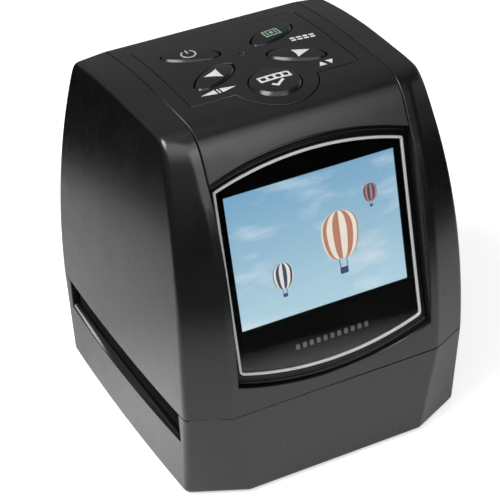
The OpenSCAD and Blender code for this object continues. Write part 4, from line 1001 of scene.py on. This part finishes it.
def windowOutline(dx, e, low=1.4, high=0.7):
    # closed outline in x and s, smaller by dx at the sides and e at the arcs, with rounded corners
    w = body["bandX"] - dx
    slope = math.atan(w / math.sqrt(window["archR"] ** 2 - w ** 2))

    def corner(r):
        return r * math.tan((math.pi / 2 - slope) / 2)
    cutLow, cutHigh = corner(low), corner(high)
    x0, x1 = w - cutLow * math.cos(slope), w - cutHigh * math.cos(slope)
    lowX, highX = np.linspace(-x0, x0, 41), np.linspace(x1, -x1, 41)
    lowS, highS = lowArc(lowX) + e, highArc(highX) - e
    sLow, sHigh = lowArc(w) + e + cutLow, highArc(w) - e - cutHigh

    def turnCorner(a, tip, b):
        t = np.linspace(0, 1, 7)[1:-1, None]
        return (1 - t) ** 2 * np.array(a) + 2 * t * (1 - t) * np.array(tip) + t * t * np.array(b)
    rightLow = turnCorner((x0, lowS[-1]), (w, lowArc(w) + e), (w, sLow))
    rightHigh = turnCorner((w, sHigh), (w, highArc(w) - e), (x1, highS[0]))
    sides = np.linspace(sLow, sHigh, 24)
    return np.concatenate([np.c_[lowX, lowS], rightLow, np.c_[sides * 0 + w, sides], rightHigh,
                           np.c_[highX, highS], rightHigh[::-1] * [-1, 1],
                           np.c_[sides * 0 - w, sides[::-1]], rightLow[::-1] * [-1, 1]])


def roundedSection(points, radii, count=5):
    # closed cross-section with its corners rounded; gives points and their outward directions
    points = np.array(points, float)
    out, away = [], []
    n = len(points)
    for k in range(n):
        a, p, b = points[k - 1], points[k], points[(k + 1) % n]
        u, v = (a - p) / np.linalg.norm(a - p), (b - p) / np.linalg.norm(b - p)
        half = math.acos(np.clip(u @ v, -1, 1)) / 2
        r = radii[k]
        middle = p + (u + v) / np.linalg.norm(u + v) * r / math.sin(half)
        first, last = p + u * r / math.tan(half), p + v * r / math.tan(half)
        a0 = math.atan2(*(first - middle)[::-1])
        turn = (math.atan2(*(last - middle)[::-1]) - a0 + math.pi) % (2 * math.pi) - math.pi
        for t in np.linspace(0, 1, count):
            way = np.array([math.cos(a0 + turn * t), math.sin(a0 + turn * t)])
            sign = 1 if (u[0] * v[1] - u[1] * v[0]) > 0 else -1
            out.append(middle + way * r)
            away.append(way * sign)
    return np.array(out), np.array(away)


def frameSweep(name, outer, inner, section, radii, lowCorner, highCorner, finish, *fit):
    # a closed frame whose section (0 = outer edge, 1 = inner edge; height) follows the window
    mesh = Mesh()
    width = inner[0] - outer[0]
    ids = []
    for (u, n), (au, an) in zip(*roundedSection([(u * width, n) for u, n in section], radii)):
        dx, e = (o + u / width * (i - o) for o, i in zip(outer, inner))
        shrink = dx - outer[0]
        flat = windowOutline(dx, e, max(0.3, lowCorner - shrink), max(0.2, highCorner - shrink))
        along = unitRows(np.roll(flat, -1, axis=0) - np.roll(flat, 1, axis=0))
        inward = np.c_[-along[:, 1], along[:, 0]]
        normal = au * np.c_[inward[:, 0], np.outer(inward[:, 1], windowUp)[:, 1:]] + an * windowOut
        ids.append(mesh.add(onWindow(flat[:, 0], flat[:, 1]) + n * windowOut, unitRows(normal)))
    mesh.strips(ids + ids[:1])
    mesh.build(name, finish, *fit)


low, top = window["seat"], pane["trimTop"]
frameSweep("windowBezel", *pane["bezel"],
           [(0, low), (0, 0), (0.36, 0), (0.44, -0.16), (0.56, -0.16), (0.62, -0.02), (1, -0.02), (1, low)],
           [0.05, 0.2, 0.1, 0.04, 0.04, 0.08, 0.1, 0.05], 1.0, 0.5,
           bezelPlastic, "body", "bezel_plastic", "window_bezel")
frameSweep("windowOutline", *pane["trim"], [(0, low), (0, top), (1, top), (1, low)], [0.05, 0.16, 0.16, 0.05],
           1.7, 0.7, trimSilver, "body", "trim_silver", "window_trim")


class FlatSkin:
    # a plane parallel to the window at a height above it
    def __init__(self, height):
        self.height = height

    def project(self, p):
        return np.c_[p[:, 0], windowRun(p)]

    def at(self, uv, depth=0.0):
        return onWindow(uv[:, 0], uv[:, 1], self.height - depth)

    def normal(self, p):
        return np.tile(windowOut, (len(p), 1))


def flatPlate(name, outlines, top, low, edge, finish, *fit):
    skin = FlatSkin(top)
    rims = [{"at": lambda d, o=o: skin.at(o(d))} for o in outlines]
    shell(name, skin, rims, top - low, finish, fit, edge, 8.0, 4.0)


def glassOutline(d):
    return windowOutline(pane["glass"][0] + d, pane["glass"][1] + d, 1.3 - d, 0.6 - d)


def pictureOutline(grow, r):
    return roundedBox(0, pictureMid, window["pictureW"] + 2 * grow, window["pictureH"] + 2 * grow, r)


flatPlate("windowPane", [glassOutline], pane["glassTop"], pane["glassLow"], 0.08,
          clearGlass, "body", "smoked_pane", "window_pane")
flatPlate("windowMask", [glassOutline, lambda d: pictureOutline(d, 0.1 + d)],
          pane["maskTop"], pane["maskLow"], 0.04, maskInk, "body", "bezel_plastic")
print("window made")

# The lit picture: a sky that pales downwards, thin clouds and three striped balloons
picture = {"skyTop": (0.20, 0.41, 0.60), "skyLow": (0.45, 0.66, 0.76), "cloud": (0.80, 0.88, 0.92),
           "cloudStretch": 3.2, "cloudSlant": 0.25,
           "cloudNoise": {"Scale": 70, "Detail": 6, "Roughness": 0.55}, "veil": (0.55, 0.52, 0.80),
           "glow": 1.0, "margin": 0.03, "lift": 0.02, "inkHigh": 0.01}


def lit(name, colourOf):
    m, graph, shader = newMaterial(name)
    graph.fill(shader, {"Base Color": (0.01, 0.01, 0.01, 1), "Roughness": 0.3,
                        "Emission Color": colourOf(graph), "Emission Strength": picture["glow"]})
    return m


def skyColour(graph):
    half = window["pictureH"] / 2 * windowUp[2]
    midZ = (windowFoot + pictureMid * windowUp)[2]
    z = graph.add("SeparateXYZ", {"Vector": graph.place()}).outputs["Z"]
    sky = graph.blend(graph.spread(z, 0, 1, (midZ - half) / 1000, (midZ + half) / 1000),
                      picture["skyLow"], picture["skyTop"])
    stretch = graph.add("Mapping", {"Scale": (1, 1, picture["cloudStretch"]), "Vector": graph.place(),
                                    "Rotation": (0, picture["cloudSlant"], 0)})
    puff = graph.add("TexNoise", {**picture["cloudNoise"], "Vector": stretch.outputs["Vector"]})
    return graph.blend(graph.spread(puff.outputs["Fac"], 0, *picture["veil"]), sky, picture["cloud"])


flatPlate("windowPicture", [lambda d: pictureOutline(-picture["margin"] - d, 0.2)], pane["pictureTop"],
          pane["pictureLow"], 0.05, lit("pictureSky", skyColour), "body", "display")


def onPlane(s, height):
    # ink on a plane of the window, moved up along it by s
    return lambda flat, up: onWindow(flat[:, 0], flat[:, 1] + s, height + min(up, picture["inkHigh"]))


def stripes(x, s, r, k, count=8, hang=1.45):
    # every second stripe of a balloon, starting at k
    t = np.linspace(0.02, 1, 26)
    turn = np.pi * t * 0.93
    wide = r * np.sin(turn) ** 0.85 * np.where(t > 0.5, 1 - 0.12 * (2 * t - 1), 1)
    high = r * np.where(t > 0.5, -np.sin((t - 0.5) * np.pi) * hang, np.cos(turn))
    shapes = []
    for i in range(k, count, 2):
        a, b = (math.sin(math.radians(180 * j / count - 90)) for j in (i, i + 1))
        shapes.append([np.concatenate([np.c_[x + wide * a, s + high], np.c_[x + wide * b, s + high][::-1]])])
    return shapes


def basket(x, s, r):
    w, top = 0.17 * r, s - 1.92 * r
    lines = [bar(x + e * w, top, x + e * 1.25 * w, s - 1.42 * r, 0.03 * r + 0.06) for e in (-1, 1)]
    return [roundedBox(x, top - 0.14 * r, 2 * w + 0.1 * r, 0.34 * r, 0.04 * r, 3, 1)], lines


# each balloon's place, radius and two colours
balloons = [(6.5, 0.6, 5.4, "Cream", "Clay"), (-11.0, -6.2, 2.9, "Navy", "Cream"),
            (16.4, 8.8, 2.0, "Clay", "Navy")]
pictureInks = {"Cream": (0.86, 0.80, 0.68), "Clay": (0.50, 0.22, 0.15), "Navy": (0.05, 0.07, 0.15)}
inkShapes = {name: [] for name in pictureInks}
for x, s, r, one, two in balloons:
    inkShapes[one] += stripes(x, s, r, 0)
    inkShapes[two] += stripes(x, s, r, 1)
    crate, lines = basket(x, s, r)
    inkShapes["Navy"] += [crate] + lines
onPicture = onPlane(pictureMid, pane["pictureTop"] + picture["lift"])
for name, colour in pictureInks.items():
    low, high = (tuple(min(1, c * f) for c in colour) for f in (0.92, 1.06))
    ink = lit("picture" + name, lambda graph: graph.blend(graph.noise(2.5, 3.0), low, high))
    printed("picture" + name, inkShapes[name], onPicture, ink, "body", "display")
perforation = {"x": -9.7, "pitch": 2.04, "s": 13.7, "count": 11}
holes = [[roundedBox(perforation["x"] + perforation["pitch"] * k, perforation["s"], 1.15, 1.5, 0.3, 3, 1)]
         for k in range(perforation["count"])]
printed("windowMark", holes, onPlane(0, pane["maskTop"]), inkGrey, "body", "bezel_plastic")
print("picture made")

# The parts carried over from the CAD
looks = {
    "foot_rubber": ((0.012, 0.012, 0.012), 0.75, {"bump": 0.5, "grain": 0.5}),
    "screw_steel": ((0.55, 0.55, 0.57), 0.3, {"metal": 1.0, "bump": 0.2}),
    "sheet_steel": ((0.58, 0.59, 0.60), 0.34, {"metal": 1.0, "bump": 0.25, "patch": 3.0}),
    "board_white": ((0.78, 0.79, 0.77), 0.45, {"bump": 0.2}),
    "board_green": ((0.02, 0.14, 0.05), 0.35, {"bump": 0.2, "shade": 0.2}),
    "led_white": ((0.86, 0.83, 0.66), 0.3, {}),
    "light_box_white": ((0.85, 0.85, 0.85), 0.5, {"bump": 0.2}),
    "opal_plastic": ((0.88, 0.88, 0.86), 0.35, {}),
    "guide_plastic": ((0.012, 0.012, 0.013), 0.45, {"bump": 0.4}),
    "pin_plastic": ((0.62, 0.62, 0.58), 0.35, {}),
    "clear_glass": ((0.95, 0.98, 0.97), 0.04, {"clear": 1.0, "ior": 1.5, "roughSpread": 0.01}),
    "light_pipe_clear": ((0.03, 0.032, 0.034), 0.15, {}),
    "chip_black": ((0.02, 0.02, 0.022), 0.5, {"bump": 0.3}),
    "switch_plastic": ((0.02, 0.02, 0.022), 0.4, {"bump": 0.3}),
    "plunger_plastic": ((0.35, 0.03, 0.02), 0.4, {"bump": 0.2}),
    "flex_film": ((0.42, 0.16, 0.03), 0.3, {"bump": 0.1}),
    "display": ((0.03, 0.035, 0.04), 0.25, {}),
}
slotLooks = {name: finish(name, colour, rough, **more) for name, (colour, rough, more) in looks.items()}
slotLooks.update(housing_plastic=housingPlastic, cover_plastic=coverPlastic, keypad_plastic=coverPlastic,
                 key_plastic=keyPlastic, bezel_plastic=bezelPlastic, trim_silver=trimSilver,
                 smoked_pane=clearGlass, spring_steel=springWire)
for part in frame["record"]["subparts"]:
    node = frame["nodes"][part["node"]]
    node.data.materials.clear()
    node.data.materials.append(slotLooks[part["material_slot"]])
print("carried-over parts finished")

# Camera
lens = {"azimuth": -25.8976, "elevation": 33.3884, "roll": -2.5264, "distance": 517.026, "focal": 135.84,
        "target": (-3.273, -0.871, 46.622)}
a, e, roll = (math.radians(lens[k]) for k in ("azimuth", "elevation", "roll"))
back = Vector((math.sin(a) * math.cos(e), -math.cos(a) * math.cos(e), math.sin(e)))
right = (-back).cross(Vector((0, 0, 1))).normalized()
up = right.cross(-back)
right, up = right * math.cos(roll) + up * math.sin(roll), up * math.cos(roll) - right * math.sin(roll)
camera = bpy.data.objects.new("camera", bpy.data.cameras.new("camera"))
bpy.context.scene.collection.objects.link(camera)
camera.data.lens = lens["focal"]
camera.data.sensor_width = 36
camera.data.clip_start = 0.01
camera.matrix_world = (Matrix.Translation((Vector(lens["target"]) + back * lens["distance"]) * 0.001)
                       @ Matrix((right, up, back)).transposed().to_4x4())
bpy.context.scene.camera = camera

# Studio: a pale floor, a soft grey room, soft boxes in front and on the left, a dim card on the right
studio = {"back": 0.22, "front": 0.01, "top": 0.35, "floorColour": 0.85, "floorSize": 3.0, "seenLift": 0.6,
          "glossLift": 0.12, "middle": (0.012, -0.003, 0), "near": 0.045, "far": 0.165, "dimmed": 0.75,
          "edge": (0.168, 0.200), "leftReflectionGlow": 0.7, "leftSpot": (-0.075, -0.005, 0),
          "leftReach": (0.015, 0.055), "backFrom": (-0.15, 0.45), "topFrom": (0.86, 0.95)}
bpy.context.scene.view_settings.view_transform = "Standard"

world = bpy.data.worlds.new("studio")
bpy.context.scene.world = world
world.use_nodes = True
graph = Graph(world.node_tree)
path = graph.add("LightPath").outputs
way = graph.add("SeparateXYZ", {"Vector": graph.add("TexCoord").outputs["Generated"]}).outputs
light = graph.maths("ADD", graph.spread(way["Y"], studio["front"], studio["back"], *studio["backFrom"]),
                    graph.spread(way["Z"], 0, studio["top"], *studio["topFrom"]))
graph.fill(graph.nodes["Background"], {"Color": (1, 1, 1, 1),
                                       "Strength": graph.maths("MAXIMUM", light, path["Is Camera Ray"])})


def softBox(name, azimuth, elevation, size, radiance, distance=0.8):
    # a lamp that shines at the object; its azimuth is from the front towards the right
    lamp = bpy.data.lights.new(name, "AREA")
    lamp.shape = "RECTANGLE"
    lamp.size, lamp.size_y = size
    lamp.energy = radiance * math.pi * size[0] * size[1]
    az, el = math.radians(azimuth), math.radians(elevation)
    way = Vector((math.sin(az) * math.cos(el), -math.cos(az) * math.cos(el), math.sin(el)))
    piece = bpy.data.objects.new(name, lamp)
    piece.location = Vector((0, 0, 0.06)) + way * distance
    piece.rotation_euler = way.to_track_quat("Z", "Y").to_euler()
    piece.visible_camera = False
    bpy.context.scene.collection.objects.link(piece)


softBox("softFront", -10, 46, (0.95, 0.48), 1.7)
softBox("softFrontLow", 12, 27, (0.39, 0.42), 1.6, 0.78)
softBox("softLeft", -78, 50, (0.40, 0.40), 10.5)
softBox("cardRight", 95, 10, (0.7, 0.25), 0.5)

floorMesh = bpy.data.meshes.new("floor")
reach = studio["floorSize"]
corners = [(x * reach, y * reach, 0) for x, y in ((-1, -1), (1, -1), (1, 1), (-1, 1))]
floorMesh.from_pydata(corners, [], [(0, 1, 2, 3)])
floor = bpy.data.objects.new("floor", floorMesh)
bpy.context.scene.collection.objects.link(floor)
m, graph, shader = newMaterial("floorPaper")
floorMesh.materials.append(m)
path = graph.add("LightPath").outputs
paper = (studio["floorColour"],) * 3


def howFar(spot):
    return graph.add("VectorMath", {0: graph.place(), 1: spot}, operation="DISTANCE").outputs["Value"]


# seen by glossy rays only, the paper is painted darker with distance from the object and gets a painted
# bright patch beside its left side, a painted reflection on the black plastic; the camera sees the paper
# evenly pale
seen = graph.maths("MAXIMUM", path["Is Camera Ray"], path["Is Transmission Ray"])
gloss = studio["glossLift"]
# painted reflection: a bright patch of floor left of the object, seen only by glossy rays
paintedReflectionPatch = graph.spread(howFar(studio["leftSpot"]), gloss + studio["leftReflectionGlow"], gloss, *studio["leftReach"])
centred = howFar(studio["middle"])
fade = graph.maths("MULTIPLY", graph.spread(centred, 1, studio["dimmed"], studio["near"], studio["far"]),
                   graph.spread(centred, 1, 0, *studio["edge"]))
graph.fill(shader, {"Base Color": graph.blend(graph.noise(40.0), tuple(c * 0.985 for c in paper), paper),
                    "Roughness": 1.0, "Specular IOR Level": 0.0, "Emission Color": (1, 1, 1, 1),
                    "Emission Strength": graph.maths(
                        "ADD", graph.maths("MULTIPLY", seen, studio["seenLift"]),
                        graph.maths("MULTIPLY", path["Is Glossy Ray"], paintedReflectionPatch))})
# painted shade in reflections: for glossy rays the paper turns black away from the object
dark = graph.add("BsdfDiffuse", {"Color": (0, 0, 0, 1)})
dim = graph.maths("MULTIPLY", path["Is Glossy Ray"], graph.maths("SUBTRACT", 1.0, fade))
both = graph.add("MixShader", {0: dim, 1: shader.outputs["BSDF"], 2: dark.outputs["BSDF"]})
graph.fill(graph.nodes["Material Output"], {"Surface": both.outputs["Shader"]})
print("studio ready")
